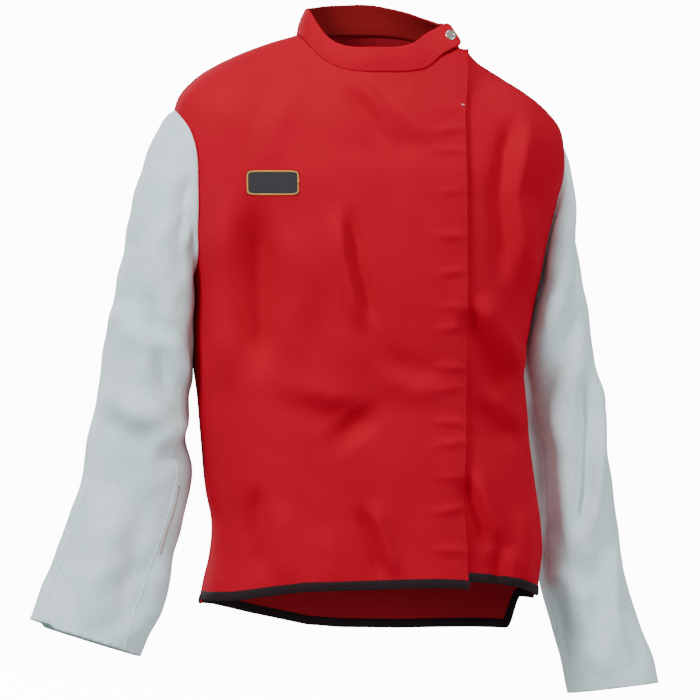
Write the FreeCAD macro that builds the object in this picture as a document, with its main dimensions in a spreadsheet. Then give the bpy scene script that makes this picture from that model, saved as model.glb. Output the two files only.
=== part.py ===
import FreeCAD, Part
import Sketcher
import math
import os

# Leather-sleeved welding jacket, hung as if worn.  Millimetres, +Z up, the chest faces -Y and the
# wearer's right side is -X.  The origin is on the shoulder line at the middle of the neck, where
# a coat hanger carries the jacket.

V = FreeCAD.Vector
Rot = FreeCAD.Rotation

doc = FreeCAD.newDocument("welding_jacket")
sheet = doc.addObject("Spreadsheet::Sheet", "sizes")
sheet.Label = "sizes"
next_row = [1]


def cell(alias, value):
    line = next_row[0]
    next_row[0] += 1
    sheet.set("A%d" % line, alias)
    sheet.set("B%d" % line, repr(float(value)))
    sheet.setAlias("B%d" % line, alias)


# ---- driving dimensions -------------------------------------------------------------------------

SINGLES = {
    "cloth": 1.0,              # thickness of one layer of the cotton body
    "leather": 1.6,            # thickness of the split leather sleeves
    "facing_top": 1.25,        # depth below the outer skin at which the flap's facing starts
    "facing_thick": 0.7,
    "underlap_depth": 4.2,     # depth of the left front, which the flap lies over
    "left_facing_depth": 5.4,
    "binding_proud": 0.7,      # how far the hem binding stands out on each side of the cloth
    "binding_tall": 10.0,
    "seam_gap": 0.5,           # half the gap between panels that belong to different bodies
    "armhole_right_tall": 263.5,
    "armhole_right_deep": 143.5,
    "armhole_right_y": 10.0,
    "armhole_right_z": -217.0,
    "armhole_left_tall": 237.0,
    "armhole_left_deep": 155.0,
    "armhole_left_y": 22.5,
    "armhole_left_z": -237.0,
    "shoulder_plane": 0.0,     # fronts and back meet here, along shoulders and sides
    "hinge_top_x": -58.0,      # fold line of the right front
    "hinge_top_y": -115.0,
    "hinge_top_z": -30.0,
    "hinge_low_x": -112.0,
    "hinge_low_y": -119.0,
    "hinge_low_z": -690.0,
    "overlap_x": 97.0,         # free edge of the right front
    "overlap_top_x": 115.0,
    "underlap_x": 20.0,        # hidden edge of the left front
    "facing_wide": 48.0,
    "neck_z": -7.0,            # neckline: a tilted ellipse
    "neck_tilt": 22.5,
    "neck_x": 9.0,
    "neck_half_wide": 102.0,
    "neck_half_deep": 81.0,
    "crest_z": 21.0,           # upper edge of the standing collar
    "crest_x": 2.0,
    "crest_half_wide": 84.5,
    "crest_half_deep": 76.0,
    "collar_layer": 1.0,
    "collar_gap": 0.3,
    "neck_gap": 1.7,           # how far the neck hole stands clear of the collar ring
    "tab_x": 45.0,             # where the collar tab leaves the ring
    "tab_y": -70.0,
    "tab_z": -31.0,
    "tab_long": 68.0,
    "tab_tall": 33.0,
    "tab_yaw": 20.0,           # direction of the tab seen from above
    "tab_rise": 24.0,
    "tab_lean": 26.0,
    "tab_corner": 4.0,
    "snap_along": 59.5,        # centre of the snap on the tab
    "snap_up": 16.5,
    "snap_cap_r": 6.8,
    "snap_cap_tall": 1.9,
    "snap_shank_r": 2.2,
    "snap_hole_r": 2.6,
    "socket_r": 5.2,
    "socket_bore_r": 2.4,
    "socket_tall": 1.1,
    "stud_base_r": 4.4,
    "stud_base_tall": 0.4,
    "stud_nipple_r": 1.7,
    "stud_nipple_tall": 1.0,
    "tab_gap": 2.0,            # space between the tab and the collar end under it
    "placket_snap_x": 74.0,
    "patch_x": -147.0,
    "patch_z": -176.0,
    "patch_wide": 62.0,
    "patch_tall": 30.0,
    "patch_thick": 0.8,
    "cuff_right_z": -743.0,
    "cuff_right_x": -362.0,
    "cuff_right_slope": -18.0,
    "cuff_left_z": -811.0,
    "cuff_left_x": 310.0,
    "cuff_left_slope": 6.5,
}
for alias, value in SINGLES.items():
    cell(alias, value)

# Level sections of the trunk: height, centre x, centre y, half width, half depth.
TRUNK = [
    (-760, 0, 0, 210, 122), (-700, 0, 0, 211, 122), (-660, 0, 0, 212, 121), (-604, 5, 0, 207, 118),
    (-530, -6, 0, 209, 116), (-454, -14, 0, 205.5, 113), (-400, -15, 0, 205, 114),
    (-352, -13, 0, 205, 116), (-300, -10, 0, 219, 118), (-229, -2, 0, 228, 117),
    (-185, 3, 0, 234, 114), (-135, 5, 0, 243, 106), (-97, -7, 0, 241, 97), (-60, -24, 0, 215, 85),
    (-34, -28, 0, 178, 76), (-14, -20, 2, 140, 73), (2, -2, 4, 108, 72), (24, 6, 6, 98, 69),
    (44, 5, 8, 94, 66),
]
# Level sections of the wearer's right sleeve and of the left one, the same way.
SLEEVE_RIGHT = [
    (-86, -226, 6, 24, 40), (-125, -227, 8, 46, 62), (-172, -229, 12, 62, 76),
    (-247, -242, 18, 66, 82), (-300, -254, 22, 64, 82), (-352, -274, 28, 50, 80),
    (-400, -279, 32, 53.5, 76), (-472, -287, 34, 62, 72), (-547, -294, 32, 68, 66),
    (-604, -312, 26, 71, 60), (-660, -332, 18, 73, 54), (-716, -357, 10, 75, 50),
    (-800, -384, 0, 76, 48),
]
SLEEVE_LEFT = [
    (-128, 215, 8, 30, 46), (-165, 207, 14, 44, 62), (-200, 203, 20, 52, 72),
    (-247, 214, 28, 55, 80), (-300, 226, 36, 52, 84), (-352, 242, 42, 44, 84),
    (-400, 245, 44, 47, 84), (-470, 253, 46, 48, 80), (-540, 265, 44, 50, 75),
    (-610, 272, 40, 54, 70), (-680, 279, 34, 56, 67), (-750, 303, 26, 57, 66),
    (-791, 313, 22, 59, 66), (-850, 322, 18, 59, 66),
]
TABLES = {"trunk": TRUNK, "right": SLEEVE_RIGHT, "left": SLEEVE_LEFT}
FIELDS = ("height", "side", "fore", "wide", "deep")
for prefix, rows in TABLES.items():
    for number, values in enumerate(rows):
        for field, value in zip(FIELDS, values):
            cell("%s_%s_n%02d" % (prefix, field, number), value)

# Lower edge of each hem, seen from the front.
HEM_RIGHT = [(-260, -694), (-205, -692), (-160, -685), (-110, -675), (90, -674), (130, -684)]
HEM_LEFT = [(0, -664), (110, -667), (165, -677), (205, -694), (260, -694)]
HEM_BACK = [(-260, -700), (-200, -702), (-140, -722), (-60, -738), (40, -741), (150, -738),
            (186, -722), (205, -700), (260, -700)]
PLACKET_SNAP_HEIGHTS = [-120, -240, -355, -470, -585]
for name, points in (("hem_right", HEM_RIGHT), ("hem_left", HEM_LEFT), ("hem_back", HEM_BACK)):
    for number, (across, height) in enumerate(points):
        cell("%s_x_n%02d" % (name, number), across)
        cell("%s_z_n%02d" % (name, number), height)
for number, height in enumerate(PLACKET_SNAP_HEIGHTS):
    cell("placket_snap_z_n%02d" % number, height)
doc.recompute()


def size(alias):
    return float(sheet.get(alias))


def outline(name, count, lift=0.0):
    return [(size("%s_x_n%02d" % (name, i)), size("%s_z_n%02d" % (name, i)) + lift)
            for i in range(count)]


# ---- building blocks ----------------------------------------------------------------------------

SECTION_POINTS = 20
SECTION_START = 0.0
FULLNESS = 2.25     # 2 is an ellipse, more is fuller in the corners
parts = {}


def ring_points(height, side, fore, wide, deep):
    points = []
    for i in range(SECTION_POINTS):
        turn = SECTION_START + 2 * math.pi * i / SECTION_POINTS
        cosine, sine = math.cos(turn), math.sin(turn)
        x = side + wide * math.copysign(abs(cosine) ** (2 / FULLNESS), cosine)
        y = fore + deep * math.copysign(abs(sine) ** (2 / FULLNESS), sine)
        points.append(V(x, y, height))
    return points


def closed_wire(points):
    curve = Part.BSplineCurve()
    steps = [float(i) for i in range(SECTION_POINTS + 1)]
    curve.interpolate(Points=points, PeriodicFlag=True, Parameters=steps)
    return Part.Wire([curve.toShape()])


def rings_of(prefix, depth):
    """Section wires of a tube, each point moved inward by depth along the surface normal."""
    count = len(TABLES[prefix])
    grid = []
    for number in range(count):
        grid.append(ring_points(*[size("%s_%s_n%02d" % (prefix, field, number)) for field in FIELDS]))
    rings = []
    for number in range(count):
        low, high = max(number - 1, 0), min(number + 1, count - 1)
        points = []
        for i in range(SECTION_POINTS):
            around = grid[number][(i + 1) % SECTION_POINTS] - grid[number][i - 1]
            along = grid[high][i] - grid[low][i]
            if along.z < 0:
                along = along * -1
            normal = around.cross(along)
            if number in (0, count - 1):
                normal.z = 0
            normal.normalize()
            points.append(grid[number][i] - normal * depth)
        rings.append(closed_wire(points))
    return rings


def tube(prefix, depth, tag):
    """Smooth closed tube through the level sections, drawn in by depth all round."""
    feature = doc.addObject("Part::Feature", "%s_tube_%s" % (prefix, tag))
    feature.Shape = Part.makeLoft(rings_of(prefix, depth), True, True)
    return feature


def tube_layer(prefix, tag, depth, thick):
    """One layer of a tube, thick deep, that starts depth below its outer skin."""
    outer, inner = rings_of(prefix, depth), rings_of(prefix, depth + thick)
    faces = list(Part.makeLoft(outer, False, True).Faces)
    faces += list(Part.makeLoft(inner, False, True).Faces)
    for end in (0, -1):
        faces.append(Part.makeFace([outer[end], inner[end]], "Part::FaceMakerBullseye"))
    shell = Part.makeShell(faces)
    shell.sewShape()
    solid = Part.makeSolid(Part.Shell(shell.Faces) if shell.ShapeType != "Shell" else shell)
    if solid.Volume < 0:
        solid.reverse()
    feature = doc.addObject("Part::Feature", "%s_layer_%s" % (prefix, tag))
    feature.Shape = solid
    return feature


def boolean(kind, name, *members):
    feature = doc.addObject("Part::" + kind, name)
    if kind in ("MultiFuse", "MultiCommon"):
        feature.Shapes = list(members)
    else:
        feature.Base, feature.Tool = members
    return feature


def cut(name, base, *tools):
    tool = tools[0] if len(tools) == 1 else boolean("MultiFuse", name + "_tools", *tools)
    return boolean("Cut", name, base, tool)


def common(name, *members):
    result = members[0]
    for number, member in enumerate(members[1:]):
        last = number == len(members) - 2
        result = boolean("Common", name if last else "%s_step%d" % (name, number), result, member)
    return result


def fuse(name, *members):
    return boolean("MultiFuse", name, *members)


def box(name, low, high):
    """Box between two corners.  A corner value can be a number or a sheet expression."""
    feature = doc.addObject("Part::Box", name)
    for axis, (first, last) in zip("xyz", zip(low, high)):
        length = {"x": "Length", "y": "Width", "z": "Height"}[axis]
        feature.setExpression("Placement.Base." + axis, "(%s) * 1 mm" % first)
        feature.setExpression(length, "((%s) - (%s)) * 1 mm" % (last, first))
    return feature


def prism(name, points, front=-260.0, back=260.0):
    """Straight-sided block with the given outline seen from the front."""
    profile = doc.addObject("Part::Polygon", name + "_outline")
    profile.Nodes = [V(x, front, z) for x, z in points]
    profile.Close = True
    block = doc.addObject("Part::Extrusion", name)
    block.Base = profile
    block.DirMode = "Custom"
    block.Dir = V(0, 1, 0)
    block.LengthFwd = back - front
    block.Solid = True
    return block


def above(name, points, top=200.0, **reach):
    left, right = points[0][0], points[-1][0]
    return prism(name, points + [(right, top), (left, top)], **reach)


def keep(label, feature):
    feature.Label = label
    parts[label] = feature
    return feature


# ---- skins --------------------------------------------------------------------------------------

cloth = size("cloth")
gap = size("seam_gap")

trunk_outer = tube("trunk", 0.0, "outer")
trunk_keep_out = tube("trunk", -gap, "keep_out")

# Neck hole: everything over the tilted neckline.
neck = doc.addObject("Part::Ellipse", "neck_outline")
neck.setExpression("MajorRadius", "(sizes.neck_half_wide + sizes.neck_gap) * 1 mm")
neck.setExpression("MinorRadius", "(sizes.neck_half_deep + sizes.neck_gap) * 1 mm")
neck_tilt = Rot(V(1, 0, 0), size("neck_tilt"))
neck.Placement = FreeCAD.Placement(V(size("neck_x"), 0, size("neck_z")), neck_tilt)
neck_hole = doc.addObject("Part::Extrusion", "neck_hole")
neck_hole.Base = neck
neck_hole.DirMode = "Normal"
neck_hole.LengthFwd = 90.0
neck_hole.Solid = True


def armhole(side, inboard, outboard):
    """Oval hole through the side of the trunk, from inboard to outboard."""
    oval = doc.addObject("Part::Ellipse", "armhole_outline_" + side)
    oval.setExpression("MajorRadius", "sizes.armhole_%s_tall / 2 * 1 mm" % side)
    oval.setExpression("MinorRadius", "sizes.armhole_%s_deep / 2 * 1 mm" % side)
    upright = Rot(V(0, 0, 1), V(0, 1, 0), V(1, 0, 0), "XYZ")
    centre = V(inboard, size("armhole_%s_y" % side), size("armhole_%s_z" % side))
    oval.Placement = FreeCAD.Placement(centre, upright)
    hole = doc.addObject("Part::Extrusion", "armhole_" + side)
    hole.Base = oval
    hole.DirMode = "Custom"
    hole.Dir = V(1 if outboard > inboard else -1, 0, 0)
    hole.LengthFwd = abs(outboard - inboard)
    hole.Solid = True
    return hole


right_armhole = armhole("right", -140.0, -400.0)
left_armhole = armhole("left", 130.0, 400.0)

body_wall = tube_layer("trunk", "skin", 0.0, cloth)

# ---- fold line of the right front ---------------------------------------------------------------

hinge_top = V(size("hinge_top_x"), size("hinge_top_y"), size("hinge_top_z"))
hinge_low = V(size("hinge_low_x"), size("hinge_low_y"), size("hinge_low_z"))


def fold_x(height):
    share = (height - hinge_low.z) / (hinge_top.z - hinge_low.z)
    return hinge_low.x + share * (hinge_top.x - hinge_low.x)


def overlap_line(shift=0.0):
    edge, top = size("overlap_x") + shift, size("overlap_top_x") + shift
    return [(edge, -900), (edge, -140), (edge + 0.35 * (top - edge), -60), (top, -10), (top, 120)]


def fold_line(shift=0.0):
    return [(fold_x(120) + shift, 120), (fold_x(-900) + shift, -900)]


flap_block = prism("flap_block", fold_line(gap) + overlap_line(), back=size("shoulder_plane") - gap)
side_block = prism("side_block", [(-400, -900), (-400, 120)] + fold_line(-gap),
                   back=size("shoulder_plane") - gap)
back_block = box("back_block", (-600, "sizes.shoulder_plane + sizes.seam_gap", -900), (600, 300, 200))

# ---- body panels and hem bindings ---------------------------------------------------------------

tall = size("binding_tall")
hem_right = outline("hem_right", len(HEM_RIGHT))
hem_left = outline("hem_left", len(HEM_LEFT))
hem_back = outline("hem_back", len(HEM_BACK))


def lifted(points, by):
    return [(x, z + by) for x, z in points]


right_body = above("right_body", lifted(hem_right, tall))
left_body = above("left_body", lifted(hem_left, tall))
back_body = above("back_body", lifted(hem_back, tall))
right_band = prism("right_band", hem_right + lifted(hem_right, tall - 0.05)[::-1])
left_band = prism("left_band", hem_left + lifted(hem_left, tall - 0.05)[::-1])
back_band = prism("back_band", hem_back + lifted(hem_back, tall - 0.05)[::-1])

keep("back_panel", cut("back_cloth", common("back_whole", body_wall, back_block, back_body),
                       neck_hole, right_armhole, left_armhole))
keep("front_right_side", cut("side_cloth", common("side_whole", body_wall, side_block, right_body),
                             neck_hole, right_armhole))
keep("front_right_flap", cut("flap_cloth", common("flap_whole", body_wall, flap_block, right_body),
                             neck_hole))

proud = size("binding_proud")
edge_wall = tube_layer("trunk", "edge", -proud, cloth + 2 * proud)
keep("hem_binding_back", common("binding_back", edge_wall, back_block, back_band))
keep("hem_binding_side", common("binding_side", edge_wall, side_block, right_band))
keep("hem_binding_flap", common("binding_flap", edge_wall, flap_block, right_band))

# The left front lies under the flap, so it is one layer step further in.
depth = size("underlap_depth")
left_block = prism("left_block", [(size("underlap_x"), -900), (size("underlap_x"), 120),
                                  (400, 120), (400, -900)], back=size("shoulder_plane") - gap)
under_wall = cut("under_wall", tube_layer("trunk", "under", depth, cloth), neck_hole, left_armhole)
keep("front_panel_left", common("left_cloth", under_wall, left_block, left_body))
under_edge = tube_layer("trunk", "under_edge", depth - proud, cloth + 2 * proud)
keep("hem_binding_left", common("binding_left", under_edge, left_block, left_band))

# ---- facings ------------------------------------------------------------------------------------

wide = size("facing_wide")
facing_top = size("facing_top")
facing_low = facing_top + size("facing_thick")
facing_wall = cut("facing_wall", tube_layer("trunk", "facing", facing_top, size("facing_thick")), neck_hole)
facing_space = prism("facing_space", [(size("overlap_x") - wide, -663), (size("overlap_x") - wide, 0),
                                      (size("overlap_x") - 1, 0), (size("overlap_x") - 1, -663)],
                     back=-30.0)
keep("front_facing_flap", common("facing_flap", facing_wall, facing_space))
left_top = size("left_facing_depth")
left_low = left_top + size("facing_thick")
left_facing_wall = cut("left_facing_wall",
                       tube_layer("trunk", "left_facing", left_top, size("facing_thick")), neck_hole)
left_space = prism("left_facing_space", [(size("underlap_x") + 1, -651), (size("underlap_x") + 1, 0),
                                         (size("overlap_x") - 4, 0), (size("overlap_x") - 4, -651)],
                   back=-30.0)
keep("front_facing_left", common("facing_left", left_facing_wall, left_space))

# ---- sleeves ------------------------------------------------------------------------------------

cuff_reach = 260.0


def cuff_cut(side):
    """Everything under the slanted cuff line."""
    block = doc.addObject("Part::Box", "cuff_cut_" + side)
    block.Length, block.Width, block.Height = 2 * cuff_reach, 2 * cuff_reach, 300
    turn = Rot(V(0, 1, 0), -size("cuff_%s_slope" % side))
    corner = turn.multVec(V(-cuff_reach, -cuff_reach, -300))
    place = V(size("cuff_%s_x" % side), 0, size("cuff_%s_z" % side)) + corner
    block.Placement = FreeCAD.Placement(place, turn)
    return block


for side in ("right", "left"):
    whole = cut("sleeve_whole_" + side, tube_layer(side, "leather", 0.0, size("leather")),
                trunk_keep_out, cuff_cut(side))
    seam_y = 14.0 if side == "right" else 30.0
    front = box("front_half_" + side, (-600, -300, -900), (600, seam_y - 0.1, 200))
    rear = box("rear_half_" + side, (-600, seam_y + 0.1, -900), (600, 300, 200))
    keep("sleeve_%s_front" % side, common("sleeve_front_" + side, whole, front))
    keep("sleeve_%s_back" % side, common("sleeve_back_" + side, whole, rear))

# ---- standing collar ----------------------------------------------------------------------------


def collar_cone(name, depth_in, low_lift=0.35):
    """Solid between the neckline ellipse and the crest ellipse, drawn in by depth_in."""
    rings = []
    for base, lift in (("neck", low_lift), ("crest", 0.0)):
        ring_object = doc.addObject("Part::Ellipse", "%s_%s" % (name, base))
        ring_object.setExpression("MajorRadius", "(sizes.%s_half_wide - %s) * 1 mm" % (base, depth_in))
        ring_object.setExpression("MinorRadius", "(sizes.%s_half_deep - %s) * 1 mm" % (base, depth_in))
        centre = V(size(base + "_x"), 0, size(base + "_z") + lift)
        ring_object.Placement = FreeCAD.Placement(centre, neck_tilt)
        rings.append(ring_object)
    cone = doc.addObject("Part::Loft", name)
    cone.Sections = rings
    cone.Solid = True
    cone.Ruled = True
    return cone


layer = size("collar_layer")
slack = size("collar_gap")
collar_outer = cut("collar_outer_wall", collar_cone("collar_cone_a", 0.0),
                   collar_cone("collar_cone_b", layer, 0.3))
collar_lining = cut("collar_lining_wall", collar_cone("collar_cone_c", layer + slack),
                    collar_cone("collar_cone_d", 2 * layer + slack, 0.3))
tab_x = size("tab_x")
ring_side = prism("ring_side", [(-400, -900), (-400, 120)] + fold_line(-gap), back=-12.0)
ring_rear = box("ring_rear", (-400, -12, -900), (400, 300, 200))
ring_root = fuse("ring_root", ring_side, ring_rear)

# ---- collar tab, the collar end under it, and their snap ----------------------------------------

yaw = Rot(V(0, 0, 1), size("tab_yaw"))
rise = Rot(V(0, 1, 0), -size("tab_rise"))
lean = Rot(V(1, 0, 0), 90 - size("tab_lean"))
tab_turn = yaw.multiply(rise).multiply(lean)     # local x along the tab, y up it, z out of it
tab_corner = V(tab_x, size("tab_y"), size("tab_z"))


def tab_place(out=0.0, along=0.0, up=0.0):
    return FreeCAD.Placement(tab_corner + tab_turn.multVec(V(along, up, out)), tab_turn)


# The ring stops at the tab's hinge edge, in the plane square to the tab.
tab_reach = 240.0
ring_limit = doc.addObject("Part::Box", "ring_limit")
ring_limit.Length, ring_limit.Width, ring_limit.Height = tab_reach, tab_reach, tab_reach
ring_limit.Placement = tab_place(-tab_reach / 2, -tab_reach - 0.6, -tab_reach / 2)
ring_span = prism("ring_span", fold_line(gap) + [(tab_x + 30, -900), (tab_x + 30, 120)], back=-20.0)
ring_front = common("ring_front", ring_span, ring_limit)
for layer_name, wall in (("outer", collar_outer), ("lining", collar_lining)):
    keep("collar_%s_back" % layer_name, common("collar_back_" + layer_name, wall, ring_root))
    keep("collar_%s_front" % layer_name, common("collar_front_" + layer_name, wall, ring_front))


def plane_of(body, role):
    for feature in body.Origin.OriginFeatures:
        if feature.Role == role:
            return feature
    raise RuntimeError(role)


def new_sketch(body, name, role):
    sketch = body.newObject("Sketcher::SketchObject", name)
    sketch.AttachmentSupport = [(plane_of(body, role), "")]
    sketch.MapMode = "FlatFace"
    return sketch


def rectangle(sketch, low, long, tall_text):
    """Rectangle from low, with its two sizes bound to sheet expressions."""
    spots = [V(low[0], low[1], 0), V(low[0] + 10, low[1], 0), V(low[0] + 10, low[1] + 10, 0),
             V(low[0], low[1] + 10, 0)]
    first = sketch.GeometryCount
    for i in range(4):
        sketch.addGeometry(Part.LineSegment(spots[i], spots[(i + 1) % 4]), False)
    for i in range(4):
        nxt = first + (i + 1) % 4
        sketch.addConstraint(Sketcher.Constraint("Coincident", first + i, 2, nxt, 1))
    for line, kind in ((0, "Horizontal"), (2, "Horizontal"), (1, "Vertical"), (3, "Vertical")):
        sketch.addConstraint(Sketcher.Constraint(kind, first + line))
    sketch.addConstraint(Sketcher.Constraint("DistanceX", -1, 1, first, 1, low[0]))
    sketch.addConstraint(Sketcher.Constraint("DistanceY", -1, 1, first, 1, low[1]))
    wide_index = sketch.addConstraint(Sketcher.Constraint("DistanceX", first, 1, first, 2, 10))
    tall_index = sketch.addConstraint(Sketcher.Constraint("DistanceY", first + 1, 1, first + 1, 2, 10))
    sketch.setExpression("Constraints[%d]" % wide_index, "(%s) * 1 mm" % long)
    sketch.setExpression("Constraints[%d]" % tall_index, "(%s) * 1 mm" % tall_text)


def circle(sketch, across, up, radius):
    number = sketch.addGeometry(Part.Circle(V(1, 1, 0), V(0, 0, 1), 1), False)
    for kind, value in (("DistanceX", across), ("DistanceY", up)):
        index = sketch.addConstraint(Sketcher.Constraint(kind, -1, 1, number, 3, 1))
        sketch.setExpression("Constraints[%d]" % index, "(%s) * 1 mm" % value)
    index = sketch.addConstraint(Sketcher.Constraint("Radius", number, 1))
    sketch.setExpression("Constraints[%d]" % index, "(%s) * 1 mm" % radius)


def plate(name, start, long, thick, hole=True, end_corners=True, low=0.0):
    """Flat strip with two rounded corners at its free end and a hole for the snap."""
    body = doc.addObject("PartDesign::Body", name)
    outline_sketch = new_sketch(body, name + "_outline", "XY_Plane")
    rectangle(outline_sketch, (start, low), long, "sizes.tab_tall - %s" % low)
    pad = body.newObject("PartDesign::Pad", name + "_pad")
    pad.Profile = outline_sketch
    pad.setExpression("Length", "(%s) * 1 mm" % thick)
    doc.recompute()
    if hole:
        hole_sketch = new_sketch(body, name + "_hole_outline", "XY_Plane")
        circle(hole_sketch, "sizes.snap_along", "sizes.snap_up", "sizes.snap_hole_r")
        pocket = body.newObject("PartDesign::Pocket", name + "_hole")
        pocket.Profile = hole_sketch
        pocket.Type = 0
        pocket.Length = 5
        pocket.Reversed = True
        solid_before = pad.Shape.Volume
        doc.recompute()
        removed = solid_before - pocket.Shape.Volume
        expected = math.pi * size("snap_hole_r") ** 2 * pad.Length.Value
        if abs(removed - expected) > 0.05 * expected:
            raise RuntimeError("%s: hole removed %.2f, not %.2f" % (name, removed, expected))
    if end_corners:
        before = body.Tip
        picked = []
        far = start + (size("tab_long") - start if not end_corners == "short" else 0)
        for number, edge in enumerate(before.Shape.Edges, 1):
            ends = [vertex.Point for vertex in edge.Vertexes]
            if len(ends) == 2 and abs(ends[0].x - far) < 0.02 and abs(ends[1].x - far) < 0.02:
                if abs(ends[0].y - ends[1].y) < 0.01:
                    picked.append("Edge%d" % number)
        corner = body.newObject("PartDesign::Fillet", name + "_corners")
        corner.Base = (before, picked)
        corner.setExpression("Radius", "sizes.tab_corner * 1 mm")
        doc.recompute()
    return body


START = 0.6      # the tab starts this far from its hinge line
tab_lining = plate("tab_lining_body", START, "sizes.tab_long - 0.6", "sizes.collar_layer")
tab_lining.Placement = tab_place(0.0)
keep("collar_tab_lining", tab_lining)
tab_outer = plate("tab_outer_body", START, "sizes.tab_long - 0.6", "sizes.collar_layer")
tab_outer.Placement = tab_place(layer + 0.1)
keep("collar_tab_outer", tab_outer)

under_tab = plate("under_tab_body", 14.0, "sizes.tab_long - 16", "2 * sizes.collar_layer",
                  hole=True, end_corners=False, low=3.0)
under_tab.Placement = tab_place(-size("tab_gap") - 2 * layer)
turn_tall = 26.0          # the collar end turns back from the tab to the ring
turn_start = tab_place(-size("tab_gap") - layer, size("tab_long") - 2.5, size("tab_tall") / 2).Base
turn_run = V(97.7, -15.5, 2.0) - turn_start
turn_rise = tab_turn.multVec(V(0, 1, 0)) + V(-0.66, 0, 0.75)
turn_place = Rot(turn_run, V(0, 0, 0), turn_rise, "XZY")
corner_plate = doc.addObject("Part::Box", "collar_turn")
corner_plate.Length, corner_plate.Width, corner_plate.Height = turn_run.Length, 2.0, turn_tall
corner_plate.Placement = FreeCAD.Placement(
    turn_start - turn_place.multVec(V(0, 1.0, turn_tall / 2)), turn_place)
keep("collar_underlap", fuse("collar_under", under_tab, corner_plate))


def turned(name, profile):
    """Solid of revolution about local Z, from (radius, height) points bound to the sheet."""
    body = doc.addObject("PartDesign::Body", name)
    sketch = new_sketch(body, name + "_profile", "XZ_Plane")
    spots = [V(radius, height, 0) for radius, height in profile]
    count = len(spots)
    for i in range(count):
        sketch.addGeometry(Part.LineSegment(spots[i], spots[(i + 1) % count]), False)
    for i in range(count):
        sketch.addConstraint(Sketcher.Constraint("Coincident", i, 2, (i + 1) % count, 1))
    for i in range(count):
        sketch.addConstraint(Sketcher.Constraint("DistanceX", -1, 1, i, 1, profile[i][0]))
        sketch.addConstraint(Sketcher.Constraint("DistanceY", -1, 1, i, 1, profile[i][1]))
    turn = body.newObject("PartDesign::Revolution", name + "_turn")
    turn.Profile = sketch
    turn.ReferenceAxis = (sketch, ["V_Axis"])
    turn.Angle = 360
    doc.recompute()
    return body


cap_r, cap_tall = size("snap_cap_r"), size("snap_cap_tall")
shank_r = size("snap_shank_r")
socket_r, socket_bore, socket_tall = size("socket_r"), size("socket_bore_r"), size("socket_tall")
base_r, base_tall = size("stud_base_r"), size("stud_base_tall")
nipple_r, nipple_tall = size("stud_nipple_r"), size("stud_nipple_tall")

cap_profile = [(0, 0.05), (0, -2.0), (shank_r, -2.0), (shank_r, 0.05), (cap_r - 0.4, 0.05),
               (cap_r, 0.45), (cap_r, 1.0), (cap_r - 0.5, 1.5), (cap_r - 1.3, cap_tall),
               (cap_r - 2.6, cap_tall), (cap_r - 3.0, cap_tall - 0.4), (0, cap_tall - 0.4)]
cap_profile = cap_profile[1:]
socket_profile = [(socket_bore, 0), (socket_r - 0.3, 0), (socket_r, 0.3), (socket_r, socket_tall - 0.3),
                  (socket_r - 0.3, socket_tall), (socket_bore, socket_tall)]
stud_profile = [(0, 0), (base_r, 0), (base_r, base_tall), (nipple_r + 0.5, base_tall),
                (nipple_r, base_tall + 0.2), (nipple_r, base_tall + nipple_tall - 0.3),
                (nipple_r - 0.3, base_tall + nipple_tall), (0, base_tall + nipple_tall)]
post_profile = [(0, 0), (base_r, 0), (base_r, 0.5), (base_r - 0.4, 0.8), (0, 0.8)]

along, up = size("snap_along"), size("snap_up")
tab_thick = 2 * layer + 0.1
cap = turned("collar_cap_body", cap_profile)
cap.Placement = tab_place(tab_thick, along, up)
keep("collar_snap_cap", cap)
socket = turned("collar_socket_body", socket_profile)
socket.Placement = tab_place(-socket_tall - 0.03, along, up)
keep("collar_snap_socket", socket)
stud = turned("collar_stud_body", stud_profile)
stud.Placement = tab_place(-size("tab_gap") + 0.03, along, up)
keep("collar_snap_stud", stud)
post = turned("collar_post_body", post_profile)
flip = Rot(V(1, 0, 0), 180)
back_face = tab_place(-size("tab_gap") - 2 * layer - 0.03, along, up)
post.Placement = FreeCAD.Placement(back_face.Base, back_face.Rotation.multiply(flip))
keep("collar_snap_post", post)

doc.recompute()

# ---- hidden snaps behind the overlap ------------------------------------------------------------

snap_x = size("placket_snap_x")


def skin_point(across, height):
    """Point of the outer trunk skin straight in front of (across, height)."""
    ray = Part.makeLine(V(across, -260, height), V(across, 0, height))
    inside = ray.common(trunk_outer.Shape)
    return min((vertex.Point for vertex in inside.Vertexes), key=lambda point: point.y)


def snap_frame(height):
    here = skin_point(snap_x, height)
    sideways = skin_point(snap_x + 4, height) - skin_point(snap_x - 4, height)
    upward = skin_point(snap_x, height + 4) - skin_point(snap_x, height - 4)
    out = sideways.cross(upward).normalize()
    return here, Rot(V(0, 0, 1), out)


def snap_row(name, profile, depth_in, upside_down=False):
    members = []
    for number in range(len(PLACKET_SNAP_HEIGHTS)):
        height = size("placket_snap_z_n%02d" % number)
        here, turn = snap_frame(height)
        member = turned("%s_n%d" % (name, number), profile)
        place = here - turn.multVec(V(0, 0, depth_in))
        if upside_down:
            turn = turn.multiply(flip)
        member.Placement = FreeCAD.Placement(place, turn)
        members.append(member)
    group = doc.addObject("Part::Compound", name)
    group.Links = members
    return group


keep("placket_snap_sockets", snap_row("placket_sockets", socket_profile,
                                      facing_low + 0.05 + socket_tall))
keep("placket_snap_studs", snap_row("placket_studs", stud_profile, depth - 0.05))
keep("placket_snap_posts", snap_row("placket_posts", post_profile, left_low + 0.05, True))

# ---- plain woven patch on the chest -------------------------------------------------------------

patch_wall = tube_layer("trunk", "patch", -size("patch_thick") - 0.1, size("patch_thick"))
patch_space = box("patch_space",
                  ("sizes.patch_x - sizes.patch_wide / 2", -300, "sizes.patch_z - sizes.patch_tall / 2"),
                  ("sizes.patch_x + sizes.patch_wide / 2", -20, "sizes.patch_z + sizes.patch_tall / 2"))
keep("chest_patch", common("patch_piece", patch_wall, patch_space))

# ---- check and write ----------------------------------------------------------------------------

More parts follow.
